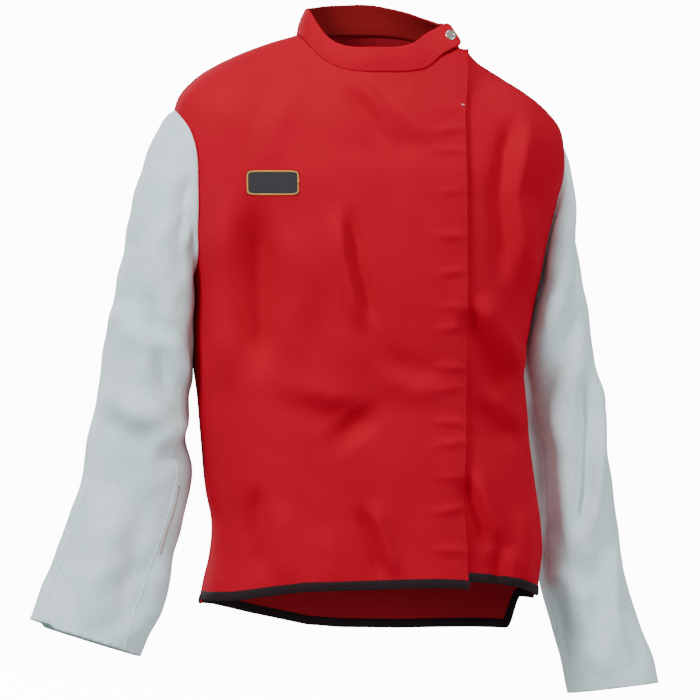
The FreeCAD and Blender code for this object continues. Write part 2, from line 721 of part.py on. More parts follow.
doc.recompute()
for item in doc.Objects:
    if "Invalid" in item.State or "Error" in item.State:
        raise RuntimeError("%s failed: %s" % (item.Name, item.State))
for label, feature in parts.items():
    shape = feature.Shape
    if shape.isNull() or not shape.isValid() or not shape.Solids:
        raise RuntimeError("%s has no sound shape" % label)
os.makedirs("parts", exist_ok=True)
for label, feature in parts.items():
    shape = feature.Shape
    bounds = shape.BoundBox
    print("%-22s solids %d volume %9.1f  x %7.1f %7.1f  y %7.1f %7.1f  z %7.1f %7.1f" % (
        label, len(shape.Solids), shape.Volume, bounds.XMin, bounds.XMax, bounds.YMin, bounds.YMax,
        bounds.ZMin, bounds.ZMax))
    shape.exportStep("parts/%s.step" % label)
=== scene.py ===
import math

import bpy
import numpy as np
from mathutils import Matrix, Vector
from mathutils.bvhtree import BVHTree


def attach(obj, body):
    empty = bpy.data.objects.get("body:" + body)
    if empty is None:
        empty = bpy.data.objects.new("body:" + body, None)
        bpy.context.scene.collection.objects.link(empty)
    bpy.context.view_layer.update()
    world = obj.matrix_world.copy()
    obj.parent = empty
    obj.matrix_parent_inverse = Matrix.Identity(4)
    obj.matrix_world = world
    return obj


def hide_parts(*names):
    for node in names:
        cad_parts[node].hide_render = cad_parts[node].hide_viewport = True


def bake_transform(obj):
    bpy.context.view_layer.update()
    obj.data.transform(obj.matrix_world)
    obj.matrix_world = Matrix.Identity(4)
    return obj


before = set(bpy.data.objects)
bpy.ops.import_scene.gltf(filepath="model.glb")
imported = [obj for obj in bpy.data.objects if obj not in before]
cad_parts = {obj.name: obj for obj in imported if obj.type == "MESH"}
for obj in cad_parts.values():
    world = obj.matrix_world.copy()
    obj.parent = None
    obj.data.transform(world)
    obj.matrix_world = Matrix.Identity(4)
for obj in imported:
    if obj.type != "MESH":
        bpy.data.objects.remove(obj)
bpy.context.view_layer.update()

# A welding jacket with a red cotton body and split-leather sleeves, in metres.
# +Z is up, the chest faces -Y and the wearer's right sleeve is on the -X side.
# Shapes are worked out in millimetres and scaled once, when a mesh is made.

MM = 0.001

# ---- small maths ----


def ease(value, low, high):
    """0 below low, 1 above high, smooth between."""
    t = np.clip((np.asarray(value, float) - low) / (high - low), 0, 1)
    return t * t * (3 - 2 * t)


def hermite(start, leave, end, arrive, t):
    """Cubic between two ends with the slope given at each."""
    t2, t3 = t * t, t * t * t
    return ((2 * t3 - 3 * t2 + 1) * start + (t3 - 2 * t2 + t) * leave
            + (3 * t2 - 2 * t3) * end + (t3 - t2) * arrive)


def through(values, at):
    """Smooth curve through evenly numbered values, read at fractional places."""
    values = np.asarray(values, float)
    slope = np.gradient(values)
    at = np.clip(np.asarray(at, float), 0, len(values) - 1.0)
    i = np.minimum(at.astype(int), len(values) - 2)
    return hermite(values[i], slope[i], values[i + 1], slope[i + 1], at - i)


def squared(value, power):
    """A sine or cosine with its sign kept; a power under 1 makes the outline squarer."""
    return np.sign(value) * np.abs(value) ** power


def lengths_along(line):
    """Length of a line up to each of its points."""
    return np.concatenate([[0], np.cumsum(np.linalg.norm(np.diff(line, axis=0), axis=1))])


def units(vectors):
    """Vectors made 1 long."""
    return vectors / np.maximum(np.linalg.norm(vectors, axis=-1, keepdims=True), 1e-9)


def waves(x, y, size, seed, count=10):
    """Smooth random field between about -1 and 1."""
    chance = np.random.default_rng(seed)
    total = np.zeros(np.broadcast(x, y).shape)
    for _ in range(count):
        turn, phase = chance.uniform(0, 2 * math.pi, 2)
        length = size * chance.uniform(0.7, 1.6)
        total += np.sin((x * math.cos(turn) + y * math.sin(turn)) * 2 * math.pi / length + phase)
    return total / math.sqrt(count * 0.9)


def along_line(px, py, points):
    """Distance to a polyline (signed by side) and the share of its length at the nearest point."""
    points = np.asarray(points, float)
    best = np.full(px.shape, 1e9)
    side = np.zeros(px.shape)
    share = np.zeros(px.shape)
    lengths = np.hypot(*(points[1:] - points[:-1]).T)
    whole, run = lengths.sum(), 0.0
    for a, b, length in zip(points[:-1], points[1:], lengths):
        d = b - a
        t = np.clip(((px - a[0]) * d[0] + (py - a[1]) * d[1]) / length ** 2, 0, 1)
        ox, oy = px - a[0] - t * d[0], py - a[1] - t * d[1]
        far = np.hypot(ox, oy)
        near = far < best
        best = np.where(near, far, best)
        side = np.where(near, np.sign(d[0] * oy - d[1] * ox), side)
        share = np.where(near, (run + t * length) / whole, share)
        run += length
    return best * side, share


def fold(x, z, kind, rise, wide, points, fade):
    """Height of one listed fold: a ridge, a valley or a step with a crest on one side."""
    off, share = along_line(x, z, points)
    body = ease(share, 0, fade) * (1 - ease(share, 1 - fade, 1))
    u = off / wide
    if kind == "ridge":
        return rise * np.exp(-u * u) * body
    if kind == "valley":
        return -rise * np.exp(-u * u) * body
    return rise * u * np.exp(0.5 - u * u / 2) * body


# ---- trunk shape ----

# The top rings tilt from the neckline to the chest; fields are centre x, right x, left x,
# centre y, front y, back y, and the heights at the right, left, front and back.
TOP_RINGS = [
    (8, -96, 109, 0, -77, 74, 8, -10, -39, 14),
    (6, -137, 142, 2, -88, 82, -4, -31, -66, -26),
    (2, -184, 182, 2, -97, 92, -23, -56, -92, -62),
    (0, -228, 218, 2, -102, 98, -50, -83, -113, -92),
    (0, -251, 241, 2, -105, 103, -86, -114, -133, -124),
]
# Level rings below: height, right half width, left half width, front depth, back depth.
LEVELS = [
    (-160, 249, 243, 111, 108), (-200, 248, 233, 114, 112), (-240, 243, 223, 116, 115),
    (-280, 234, 215, 117.5, 117), (-320, 229.5, 206, 117.5, 117), (-360, 229, 198, 116, 116),
    (-400, 227, 190, 114, 114), (-440, 222, 193, 113, 113), (-480, 218.5, 196.5, 114, 114),
    (-520, 215.5, 200, 116, 116), (-560, 211, 206, 117, 117), (-600, 203.5, 212, 118, 118),
    (-640, 206.5, 214, 119.5, 120), (-680, 216, 209, 121.5, 121), (-720, 222, 207, 122, 122),
    (-760, 224, 206, 122, 122),
]
FULL = 2.3      # how full the rings are: 2 is an ellipse, more is squarer
ringed = [list(ring) for ring in TOP_RINGS]
for height, right, left, front, back in LEVELS:
    ringed.append([0, -right, left, 2, -front, back, height, height, height, height])
RINGS = np.array(ringed, float)
LAST = len(RINGS) - 1
FIRST_LEVEL = len(TOP_RINGS)


def oval(fields, turn, power, shoulder):
    """Point of a tilted ring; shoulder sets how far round its right front stays at the front's height."""
    cx, right, left, cy, front, back, zr, zl, zf, zb = fields
    c, s = np.cos(turn), np.sin(turn)
    cc, ss = squared(c, power), squared(s, power)
    x = cx + np.where(c > 0, (left - cx) * cc, (cx - right) * cc)
    y = cy + np.where(s > 0, (back - cy) * ss, (cy - front) * ss)
    share = np.abs(c) ** np.where((c < 0) & (s < 0), shoulder, 2)
    z = np.where(c > 0, zl, zr) * share + np.where(s > 0, zb, zf) * (1 - share)
    return np.stack([x, y, z], -1)


def trunk_shape(turn, row):
    """Point of the undisturbed trunk; turn 0 is the wearer's left, a quarter turn is the back."""
    fields = [through(RINGS[:, k], row) for k in range(10)]
    return oval(fields, turn, 2 / FULL, 4 - 2 * ease(row, 0, 2.5))


def row_at(height):
    """Row whose level ring stands at this height, for heights below the armpits."""
    rows = np.linspace(FIRST_LEVEL, LAST, 400)
    heights = through(RINGS[:, 6], rows)
    return np.interp(-np.asarray(height, float), -heights, rows)


# ---- folds of the cotton body ----

FRONT_FOLDS = [
    # broad hollow beside the right armhole and the roll outside it
    ("valley", 8.0, 19, [(-172, -185), (-168, -260), (-166, -340), (-158, -432)], 0.3),
    ("ridge", 5.5, 17, [(-206, -170), (-203, -260), (-200, -350), (-196, -450)], 0.3),
    ("ridge", 2.6, 26, [(-120, -200), (-116, -300), (-118, -400)], 0.4),
    # long crease down the middle of the chest
    ("step", -3.6, 9, [(-62, -196), (-55, -270), (-41, -326), (-26, -366)], 0.3),
    # drag lines from the neck
    ("step", 2.4, 9, [(-52, -44), (-16, -93), (10, -140)], 0.35),
    ("step", 1.9, 10, [(-10, -70), (20, -108), (46, -140)], 0.4),
    ("step", 1.6, 14, [(-112, -30), (-150, -92), (-176, -165)], 0.4),
    # slack over the belly
    ("valley", 5.0, 30, [(-62, -460), (-48, -480), (-34, -498)], 0.5),
    ("step", 2.2, 15, [(-150, -430), (-80, -452), (-10, -448)], 0.45),
    ("step", -1.8, 14, [(-30, -392), (30, -420), (84, -418)], 0.45),
    # lower creases
    ("step", 3.0, 9, [(-38, -566), (-22, -612), (-2, -672)], 0.3),
    ("valley", 3.2, 10, [(-166, -540), (-167, -605), (-160, -668)], 0.3),
    ("ridge", 2.8, 14, [(-136, -560), (-133, -620), (-130, -690)], 0.35),
    ("ridge", 2.0, 18, [(-84, -590), (-80, -640), (-78, -690)], 0.4),
    # left front
    ("step", 3.6, 11, [(178, -84), (162, -135), (151, -188), (157, -248), (160, -306)], 0.25),
    ("ridge", 3.0, 14, [(182, -190), (186, -250), (188, -320)], 0.35),
    ("step", 4.0, 15, [(96, -322), (128, -364), (176, -430)], 0.25),
    ("step", 2.6, 13, [(112, -430), (150, -470), (190, -500)], 0.4),
    ("step", 3.0, 10, [(97, -528), (118, -585), (136, -636)], 0.3),
    ("step", 2.6, 8, [(146, -626), (149, -655), (150, -690)], 0.4),
    ("ridge", 2.4, 14, [(176, -560), (178, -620), (176, -700)], 0.35),
]
PUCKERS = [-84, -110, -136, -186, -241, -286, -329, -355, -404, -430, -472, -498, -540, -580, -630]
BACK_FOLDS = [
    ("step", 3.4, 20, [(-40, -60), (-110, -180), (-170, -300)], 0.35),
    ("step", -3.4, 20, [(50, -60), (118, -180), (168, -300)], 0.35),
    ("valley", 3.0, 30, [(-60, -180), (0, -215), (70, -190)], 0.4),
    ("ridge", 3.4, 22, [(-92, -380), (-100, -520), (-96, -700)], 0.4),
    ("valley", 3.6, 20, [(-30, -420), (-36, -560), (-30, -730)], 0.4),
    ("ridge", 3.8, 24, [(34, -400), (40, -560), (38, -730)], 0.4),
    ("valley", 3.2, 20, [(104, -420), (110, -560), (104, -720)], 0.4),
    ("ridge", 3.0, 18, [(158, -420), (160, -560), (158, -700)], 0.4),
    ("ridge", 3.0, 18, [(-158, -460), (-160, -580), (-156, -700)], 0.4),
    ("step", 2.4, 16, [(-170, -330), (-90, -372), (0, -362)], 0.45),
]
OVERLAP_X = 97.0   # free edge of the right front
UNDERLAP_X = 22.0  # edge of the left front, under it
SNAP_X = 74.0      # line of the hidden snaps, where the overlap puckers
FOLD_GAIN = 2.2    # how far the folds stand, against the heights listed
STEP_IN = 4.0      # how much deeper the left front lies where the right one covers it


def overlap_x(height):
    """Where the free edge of the right front runs."""
    return OVERLAP_X + 14 * ease(height, -110, -14) - 4 * np.exp(-((np.asarray(height) + 560) / 50) ** 2)


def trunk_folds(place, layer):
    """Height of the cloth over the undisturbed trunk; layer is back, right or left."""
    x, y, z = place[..., 0], place[..., 1], place[..., 2]
    total = np.zeros(x.shape)
    chosen = BACK_FOLDS if layer == "back" else FRONT_FOLDS
    for kind, rise, wide, points, fade in chosen:
        total += FOLD_GAIN * fold(x, z, kind, rise, wide, points, fade)
    total += 0.9 * waves(x, z * 0.75, 150, 3 if layer == "back" else 5)
    total += 0.35 * waves(x, z * 0.8, 52, 7)
    if layer != "back":
        near = np.exp(-((x - SNAP_X) / 20.0) ** 2)
        for k, height in enumerate(PUCKERS):
            lean = height + (x - SNAP_X) * (0.10 if k % 2 else -0.06)
            total += 2.1 * near * np.exp(-((z - lean) / 5.5) ** 2) * (1 if k % 3 else 0.7)
    if layer == "left":      # flat where the snaps are set
        total *= 1 - np.exp(-((x - SNAP_X) / 14.0) ** 2)
    calm = ease(z, -60, -18) if layer != "back" else ease(z, -40, 0)
    total *= 1 - 0.8 * calm
    total *= 0.35 + 0.65 * ease(np.abs(y), 6, 40)     # the side seams stay put
    return total


SMALL_TURN = 0.004    # radians to each side when a slope round the trunk is measured


def trunk_point(turn, row, layer, depth=0.0):
    """Point of the displaced cloth, drawn in by depth."""
    turn, row = np.broadcast_arrays(np.asarray(turn, float), np.asarray(row, float))
    here = trunk_shape(turn, row)
    around = trunk_shape(turn + SMALL_TURN, row) - trunk_shape(turn - SMALL_TURN, row)
    down = trunk_shape(turn, np.minimum(row + 0.02, LAST)) - trunk_shape(turn, np.maximum(row - 0.02, 0))
    normal = units(np.cross(down, around))
    rise = trunk_folds(here, layer) - depth
    if layer == "left":
        rise = rise - STEP_IN * (1 - ease(here[..., 0], OVERLAP_X + 30, OVERLAP_X + 95))
    return here + normal * rise[..., None]


# ---- meshes ----


def grid_faces(rows, columns, wrap=False):
    """Quads of a grid of points listed row by row; wrap joins the last column to the first."""
    faces = []
    last = columns if wrap else columns - 1
    for i in range(rows - 1):
        for j in range(last):
            k = (j + 1) % columns
            faces.append((i * columns + j, i * columns + k, (i + 1) * columns + k, (i + 1) * columns + j))
    return faces


def trim(points, faces, keep):
    """Cuts a mesh along keep = 0 and drops the part where keep is negative."""
    points = [tuple(p) for p in points]
    made = {}

    def crossing(a, b):
        key = (a, b) if a < b else (b, a)
        if key not in made:
            share = keep[key[0]] / (keep[key[0]] - keep[key[1]])
            start, end = points[key[0]], points[key[1]]
            points.append(tuple(s + (e - s) * share for s, e in zip(start, end)))
            made[key] = len(points) - 1
        return made[key]

    kept = []
    for face in faces:
        inside = [keep[v] >= 0 for v in face]
        if all(inside):
            kept.append(face)
        elif any(inside):
            corners = []
            for k, v in enumerate(face):
                w = face[(k + 1) % len(face)]
                if keep[v] >= 0:
                    corners.append(v)
                if (keep[v] >= 0) != (keep[w] >= 0):
                    corners.append(crossing(v, w))
            if len(corners) > 2:
                kept.append(tuple(corners))
    used = sorted({v for face in kept for v in face})
    place = {v: i for i, v in enumerate(used)}
    return [points[v] for v in used], [tuple(place[v] for v in face) for face in kept]


def clipped(points, faces, *keeps):
    """trim by several functions of the points, one after the other."""
    for keep in keeps:
        table = np.array(points, float)
        points, faces = trim(points, faces, keep(table))
    return points, faces


def add_mesh(name, points, faces, materials, smooth=True):
    """Mesh object from millimetre points; columns past the third are the flat cloth's place."""
    table = np.array(points, float)
    mesh = bpy.data.meshes.new(name)
    mesh.from_pydata([tuple(p) for p in table[:, :3] * MM], [], faces)
    mesh.validate()
    if table.shape[1] >= 5:
        layer = mesh.uv_layers.new(name="cloth")
        for loop in mesh.loops:
            layer.data[loop.index].uv = table[loop.vertex_index, 3:5] * MM
    for material in materials:
        mesh.materials.append(material)
    if smooth:
        mesh.shade_smooth()
    made = bpy.data.objects.new(name, mesh)
    bpy.context.scene.collection.objects.link(made)
    return made


def thicken(piece, thick, inside=False):
    """Gives a sheet its thickness in millimetres; inside makes the inner face the second material."""
    solid = piece.modifiers.new("thickness", "SOLIDIFY")
    solid.thickness = thick * MM
    solid.offset = -1.0
    solid.use_even_offset = False
    solid.material_offset = 1 if inside else 0
    return piece


def turn_out(points, faces, middle):
    """Faces turned so that their normals point away from the middle, a point or a function of height."""
    table = np.array(points, float)[:, :3]
    votes = 0
    for face in faces[:: max(1, len(faces) // 200)]:
        a, b, c = table[face[0]], table[face[1]], table[face[2]]
        here = (a + c) / 2
        centre = middle(here[2]) if callable(middle) else middle
        votes += np.sign(np.dot(np.cross(b - a, c - a), here - centre))
    return faces if votes > 0 else [tuple(reversed(face)) for face in faces]


# ---- materials ----


class Shader:
    """A node material being put together."""

    def __init__(self, name, rough, metal=0.0):
        self.material = bpy.data.materials.new(name)
        self.material.use_nodes = True
        self.tree = self.material.node_tree
        self.surface = self.tree.nodes["Principled BSDF"]
        self.surface.inputs["Roughness"].default_value = rough
        self.surface.inputs["Metallic"].default_value = metal

    def node(self, kind, **settings):
        made = self.tree.nodes.new(kind)
        for key, value in settings.items():
            if hasattr(made, key):
                setattr(made, key, value)
            else:
                made.inputs[key.replace("_", " ")].default_value = value
        return made

    def link(self, start, end):
        self.tree.links.new(start, end)

    def place(self, flat=False):
        kind = self.node("ShaderNodeTexCoord")
        return kind.outputs["UV"] if flat else kind.outputs["Object"]

    def noise(self, scale, detail=3.0, flat=False, rough=0.5):
        made = self.node("ShaderNodeTexNoise", Scale=scale, Detail=detail, Roughness=rough)
        self.link(self.place(flat), made.inputs["Vector"])
        return made.outputs["Fac"]

    def ramp(self, fac, stops):
        made = self.node("ShaderNodeValToRGB")
        points = made.color_ramp.elements
        while len(points) < len(stops):
            points.new(0.5)
        for point, (where, color) in zip(points, stops):
            point.position = where
            point.color = (*color, 1)
        self.link(fac, made.inputs["Fac"])
        return made.outputs["Color"]

    def multiply(self, a, b):
        made = self.node("ShaderNodeMix", data_type="RGBA", blend_type="MULTIPLY")
        made.inputs[0].default_value = 1.0
        self.link(a, made.inputs[6])
        self.link(b, made.inputs[7])
        return made.outputs[2]

    def bump(self, height, strength, distance):
        made = self.node("ShaderNodeBump", Strength=strength, Distance=distance)
        self.link(height, made.inputs["Height"])
        before = self.surface.inputs["Normal"]
        if before.is_linked:
            self.link(before.links[0].from_socket, made.inputs["Normal"])
        self.link(made.outputs["Normal"], before)

    def color(self, socket):
        if isinstance(socket, tuple):
            self.surface.inputs["Base Color"].default_value = (*socket, 1)
        else:
            self.link(socket, self.surface.inputs["Base Color"])


def cotton(name, red, deep):
    """Twill: diagonal ribs, fine thread noise and a soft unevenness of the dye."""
    s = Shader(name, 0.86)
    tint = s.ramp(s.noise(9.0, 4.0), [(0.3, deep), (0.72, red)])
    thread = s.ramp(s.noise(900.0, 2.0, flat=True), [(0.3, (0.86, 0.86, 0.86)), (0.7, (1, 1, 1))])
    s.color(s.multiply(tint, thread))
    s.surface.inputs["Specular IOR Level"].default_value = 0.10
    twill = s.node("ShaderNodeTexWave", wave_type="BANDS", bands_direction="DIAGONAL",
                   Scale=420.0, Distortion=0.6, Detail=1.0)
    s.link(s.place(flat=True), twill.inputs["Vector"])
    s.bump(twill.outputs["Fac"], 0.22, 0.0003)
    s.bump(s.noise(60.0, 5.0), 0.18, 0.0012)
    return s.material


def split_leather():
    """Suede side of split hide: matt, mottled, with a short nap."""
    s = Shader("split_leather", 0.93)
    cloud = s.ramp(s.noise(15.0, 7.0, rough=0.68), [(0.30, LEATHER_DEEP), (0.64, LEATHER_PALE)])
    nap = s.ramp(s.noise(260.0, 4.0, rough=0.7), [(0.3, (0.86, 0.87, 0.88)), (0.68, (1, 1, 1))])
    s.color(s.multiply(cloud, nap))
    s.surface.inputs["Specular IOR Level"].default_value = 0.12
    s.surface.inputs["Sheen Weight"].default_value = 0.1
    s.bump(s.noise(420.0, 4.0), 0.3, 0.0005)
    s.bump(s.noise(38.0, 6.0, rough=0.65), 0.35, 0.0026)
    return s.material


def plain(name, color, rough, bump_scale=0.0, metal=0.0, strength=0.3):
    """One colour, mottled and bumpy where a scale is given."""
    s = Shader(name, rough, metal)
    if bump_scale:
        dark = tuple(0.8 * part for part in color)
        s.color(s.ramp(s.noise(bump_scale, 3.0), [(0.35, dark), (0.65, color)]))
        s.bump(s.noise(bump_scale * 2, 3.0), strength, 0.0004)
    else:
        s.color(color)
    s.surface.inputs["Specular IOR Level"].default_value = 0.5 if metal else 0.25
    return s.material


RED, RED_DEEP = (0.48, 0.0008, 0.018), (0.42, 0.0007, 0.015)
INSIDE, INSIDE_DEEP = (0.40, 0.014, 0.024), (0.35, 0.012, 0.020)
# SHADE is painted shade: a much darker copy of the red cotton, for the collar's inner faces.
SHADE, SHADE_DEEP = (0.20, 0.006, 0.008), (0.17, 0.005, 0.007)
LEATHER_PALE, LEATHER_DEEP = (0.77, 0.95, 0.975), (0.62, 0.79, 0.82)
red_cloth = cotton("red_cotton", RED, RED_DEEP)
red_inside = cotton("red_cotton_inside", INSIDE, INSIDE_DEEP)
# red_shade paints shade on the collar's inner faces; it is the same cotton, darkened.
red_shade = cotton("red_cotton_painted_shade", SHADE, SHADE_DEEP)
leather = split_leather()
leather_edge = plain("leather_cut_edge", (0.46, 0.37, 0.35), 0.95, 300.0)
tape = plain("black_binding", (0.014, 0.006, 0.008), 0.85, 500.0)
thread = plain("red_thread", (0.50, 0.012, 0.018), 0.6)
dark_thread = plain("dark_thread", (0.03, 0.016, 0.02), 0.6)
pale_thread = plain("pale_thread", (0.55, 0.57, 0.58), 0.7)
nickel = plain("brushed_nickel", (0.62, 0.61, 0.57), 0.28, 700.0, metal=1.0, strength=0.15)
snap_metal = plain("snap_metal", (0.42, 0.42, 0.41), 0.35, 600.0, metal=1.0, strength=0.15)
patch_cloth = plain("patch_weave", (0.035, 0.033, 0.038), 0.85, 700.0)
patch_edge = plain("patch_border", (0.60, 0.33, 0.07), 0.8, 900.0)

# ---- cotton body ----

CLOTH = 1.15    # thickness
STEPS_ROW, COLUMNS = ((14, 200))


def smooth_loop(points, count=240):
    """Closed smooth curve through evenly spaced (y, z) points."""
    ring = np.array([*points[-2:], *points, *points[:3]], float)
    at = np.linspace(2, 2 + len(points), count, endpoint=False)
    return np.stack([through(ring[:, 0], at), through(ring[:, 1], at)], -1)


# Armholes seen from the side, as (y, z), twelve points from the shoulder tip round the front.
ARMHOLE_RIGHT = [(5, -86), (-30, -99), (-47, -128), (-50, -172), (-48, -222), (-36, -272), (8, -302),
                 (52, -284), (74, -240), (80, -190), (72, -140), (44, -103)]
ARMHOLE_LEFT = [(20, -122), (0, -130), (-15, -152), (-16, -196), (-13, -244), (-2, -290), (32, -318),
                (64, -298), (80, -256), (84, -206), (76, -162), (52, -134)]
LOOP_RIGHT, LOOP_LEFT = smooth_loop(ARMHOLE_RIGHT), smooth_loop(ARMHOLE_LEFT)


def outside_loop(loop, y, z):
    """Signed distance to a closed curve, positive outside it."""
    inside = np.zeros(y.shape, bool)
    best = np.full(y.shape, 1e9)
    for (y0, z0), (y1, z1) in zip(loop, np.roll(loop, -1, axis=0)):
        dy, dz = y1 - y0, z1 - z0
        t = np.clip(((y - y0) * dy + (z - z0) * dz) / (dy * dy + dz * dz), 0, 1)
        best = np.minimum(best, np.hypot(y - y0 - t * dy, z - z0 - t * dz))
        across = (z0 > z) != (z1 > z)
        inside ^= across & (y < (y1 - y0) * (z - z0) / (z1 - z0 + 1e-12) + y0)
    return np.where(inside, -best, best)


HEM_RIGHT_X = [-260, -222, -190, -150, -110, -50, 20, 60, 90, 100, 130]
HEM_RIGHT_Z = [-694, -693, -690, -683, -677.5, -676, -674.5, -674.5, -676.5, -680, -682]
HEM_LEFT_X = [0, 100, 140, 170, 190, 212, 240]
HEM_LEFT_Z = [-664, -668, -672, -678, -685, -694, -696]
HEM_BACK_X = [-240, -220, -190, -136, -60, -17, 60, 150, 240]
HEM_BACK_Z = [-696, -698, -703, -717, -734, -738, -740, -738, -738]


def hem_right(x, y):
    """Height of the right front's hem under a point."""
    return np.interp(x, HEM_RIGHT_X, HEM_RIGHT_Z)


def hem_left(x, y):
    """Height of the left front's hem under a point."""
    return np.interp(x, HEM_LEFT_X, HEM_LEFT_Z)


def hem_back(x, y):
    """Height of the back's hem, with a step up beside the left side seam."""
    low = np.interp(x, HEM_BACK_X, HEM_BACK_Z)
    notch = ease(x, 120, 160) * (1 - ease(y, 44, 62))
    return low * (1 - notch) - 697 * notch


TAB_YAW, TAB_RISE, TAB_LEAN = math.radians(20), math.radians(24), math.radians(26)
TAB_CORNER = np.array([45.0, -70.0, -31.0])
TAB_LONG, TAB_TALL, TAB_THICK = 68.0, 33.0, 2.3


def tab_axes():
    """Directions along the tab, up it and out of it."""
    def turned(v):
        rise_c, rise_s = math.cos(-TAB_RISE), math.sin(-TAB_RISE)
        x, y, z = v[0] * rise_c + v[2] * rise_s, v[1], v[2] * rise_c - v[0] * rise_s
        yaw_c, yaw_s = math.cos(TAB_YAW), math.sin(TAB_YAW)
        return np.array([x * yaw_c - y * yaw_s, x * yaw_s + y * yaw_c, z])

    lean_c, lean_s = math.cos(TAB_LEAN), math.sin(TAB_LEAN)
    return [turned(v) for v in ((1.0, 0, 0), (0, lean_s, lean_c), (0, -lean_c, lean_s))]


TAB_ALONG, TAB_UP, TAB_OUT = tab_axes()


def on_tab(along, up):
    """Point of the tab's flat outer face."""
    return TAB_CORNER + along * TAB_ALONG + up * TAB_UP + TAB_THICK * TAB_OUT



def neck_lift(table, row, out):
    """Draws the upper edge of a front out to the lower edge of the collar tab."""
    x = table[..., 0]
    along = np.clip((x - TAB_CORNER[0]) / TAB_ALONG[0], -5, TAB_LONG + 4)
    drop = 2.0 + 8.0 * ease(along, TAB_LONG - 11, TAB_LONG + 4)
    target = TAB_CORNER + along[..., None] * TAB_ALONG - drop[..., None] * TAB_UP + out * TAB_OUT
    share = ease(x, 30, 66) * (1 - ease(row, 0.1, 1.5))
    return table + (target - table) * share[..., None]


def with_flat(table, across, down):
    """List of a grid's points, each with its place on the flat cloth added."""
    flat = np.stack(np.broadcast_arrays(across, down), -1)
    return np.concatenate([table, flat], -1).reshape(-1, 5)


def cloth_grid(layer, start, end, depth=0.0, first=0.0):
    """Points and faces of one side of the body, from row first down."""
    rows = np.linspace(first, LAST, int((LAST - first) * STEPS_ROW) + 1)
    turns = np.linspace(start, end, COLUMNS)
    turn, row = np.meshgrid(turns, rows)
    table = trunk_point(turn, row, layer, depth)
    if layer != "back":
        table = neck_lift(table, row, 0.6 - depth if layer == "right" else -3.6 - depth)
    across, down = lengths_along(table[len(rows) // 2]), lengths_along(table[:, COLUMNS // 2])
    return with_flat(table, across[None, :], -down[:, None]), grid_faces(len(rows), COLUMNS)


def armhole_keep(loop, side):
    """Test that drops the cloth inside an armhole, on its own side of the trunk only."""
    def keep(p):
        off = outside_loop(loop, p[:, 1], p[:, 2])
        return np.where(side * p[:, 0] > 120, off, 50.0)
    return keep


LEFT_SEAM, RIGHT_SEAM = 0.0, math.pi
back_points, back_faces = cloth_grid("back", LEFT_SEAM, RIGHT_SEAM)
right_points, right_faces = cloth_grid("right", RIGHT_SEAM, 2 * math.pi)
left_points, left_faces = cloth_grid("left", RIGHT_SEAM + 1.2, 2 * math.pi)
body_tree = BVHTree.FromPolygons(
    [tuple(p[:3]) for p in back_points] + [tuple(p[:3]) for p in right_points],
    back_faces + [tuple(v + len(back_points) for v in face) for face in right_faces])
left_tree = BVHTree.FromPolygons([tuple(p[:3]) for p in left_points], left_faces)

AXIS = np.array([0.0, 0.0, -350.0])
cut_back = clipped(back_points, back_faces,
                   lambda p: p[:, 2] - hem_back(p[:, 0], p[:, 1]),
                   armhole_keep(LOOP_RIGHT, -1), armhole_keep(LOOP_LEFT, 1))
cut_right = clipped(right_points, right_faces,
                    lambda p: p[:, 2] - hem_right(p[:, 0], p[:, 1]),
                    lambda p: overlap_x(p[:, 2]) - p[:, 0], armhole_keep(LOOP_RIGHT, -1))
cut_left = clipped(left_points, left_faces,
                   lambda p: p[:, 2] - hem_left(p[:, 0], p[:, 1]),
                   lambda p: p[:, 0] - UNDERLAP_X, armhole_keep(LOOP_LEFT, 1))


def panel(name, cut):
    """Cloth of one side of the body, with a darker inner face."""
    points, faces = cut
    made = add_mesh(name, points, turn_out(points, faces, AXIS), [red_cloth, red_inside])
    return thicken(made, CLOTH, inside=True)


back_piece = panel("back_cloth", cut_back)
right_piece = panel("right_front_cloth", cut_right)
left_piece = panel("left_front_cloth", cut_left)

# Facings behind the two edges that the snaps are set in.
FACING_RIGHT, FACING_LEFT = 46.0, 66.0
FACING_CLOTH = 0.7


def facing(name, layer, *keeps):
    """Strip of cloth just inside a front edge."""
    grid = cloth_grid(layer, 1.5 * math.pi - 0.2, 2 * math.pi, CLOTH + 0.25, 0.3)
    points, faces = clipped(*grid, *keeps)
    return thicken(add_mesh(name, points, turn_out(points, faces, AXIS), [red_cloth]), FACING_CLOTH)


flap_facing = facing("right_front_facing", "right",
                     lambda p: p[:, 2] - hem_right(p[:, 0], p[:, 1]) - 9,
                     lambda p: overlap_x(p[:, 2]) - 1.2 - p[:, 0],
                     lambda p: p[:, 0] - overlap_x(p[:, 2]) + FACING_RIGHT)
left_facing = facing("left_front_facing", "left",
                     lambda p: p[:, 2] - hem_left(p[:, 0], p[:, 1]) - 9,
                     lambda p: p[:, 0] - UNDERLAP_X - 1.0,
                     lambda p: UNDERLAP_X + FACING_LEFT - p[:, 0])

# ---- strips, bindings and stitches that follow the cloth ----


def swept(name, spine, normals, profile, material, flip=False):
    """Solid strip along a spine; profile points are (inward across the strip, out of the cloth)."""
    spine, normals = np.asarray(spine, float), np.asarray(normals, float)
    across = units(np.cross(normals, units(np.gradient(spine, axis=0))))
    if flip:
        across = -across
    rings = np.array([[s + a * u + n * w for u, w in profile] for s, a, n in zip(spine, across, normals)])
    count, corners = rings.shape[:2]
    faces = grid_faces(count, corners, wrap=True)
    faces += [tuple(range(corners)), tuple(reversed(range((count - 1) * corners, count * corners)))]
    return add_mesh(name, rings.reshape(-1, 3), faces, [material])


def on_surface(tree, points, lift=0.0):
    """Nearest points of a surface and its normals there, turned away from the trunk's middle."""
    found, normals = [], []
    for point in points:
        place, normal, _, _ = tree.find_nearest(Vector(point))
        away = Vector((place.x, place.y, 0))
        if normal.dot(away) < 0:
            normal = -normal
        found.append(place + normal * lift)
        normals.append(normal)
    return np.array(found), np.array(normals)


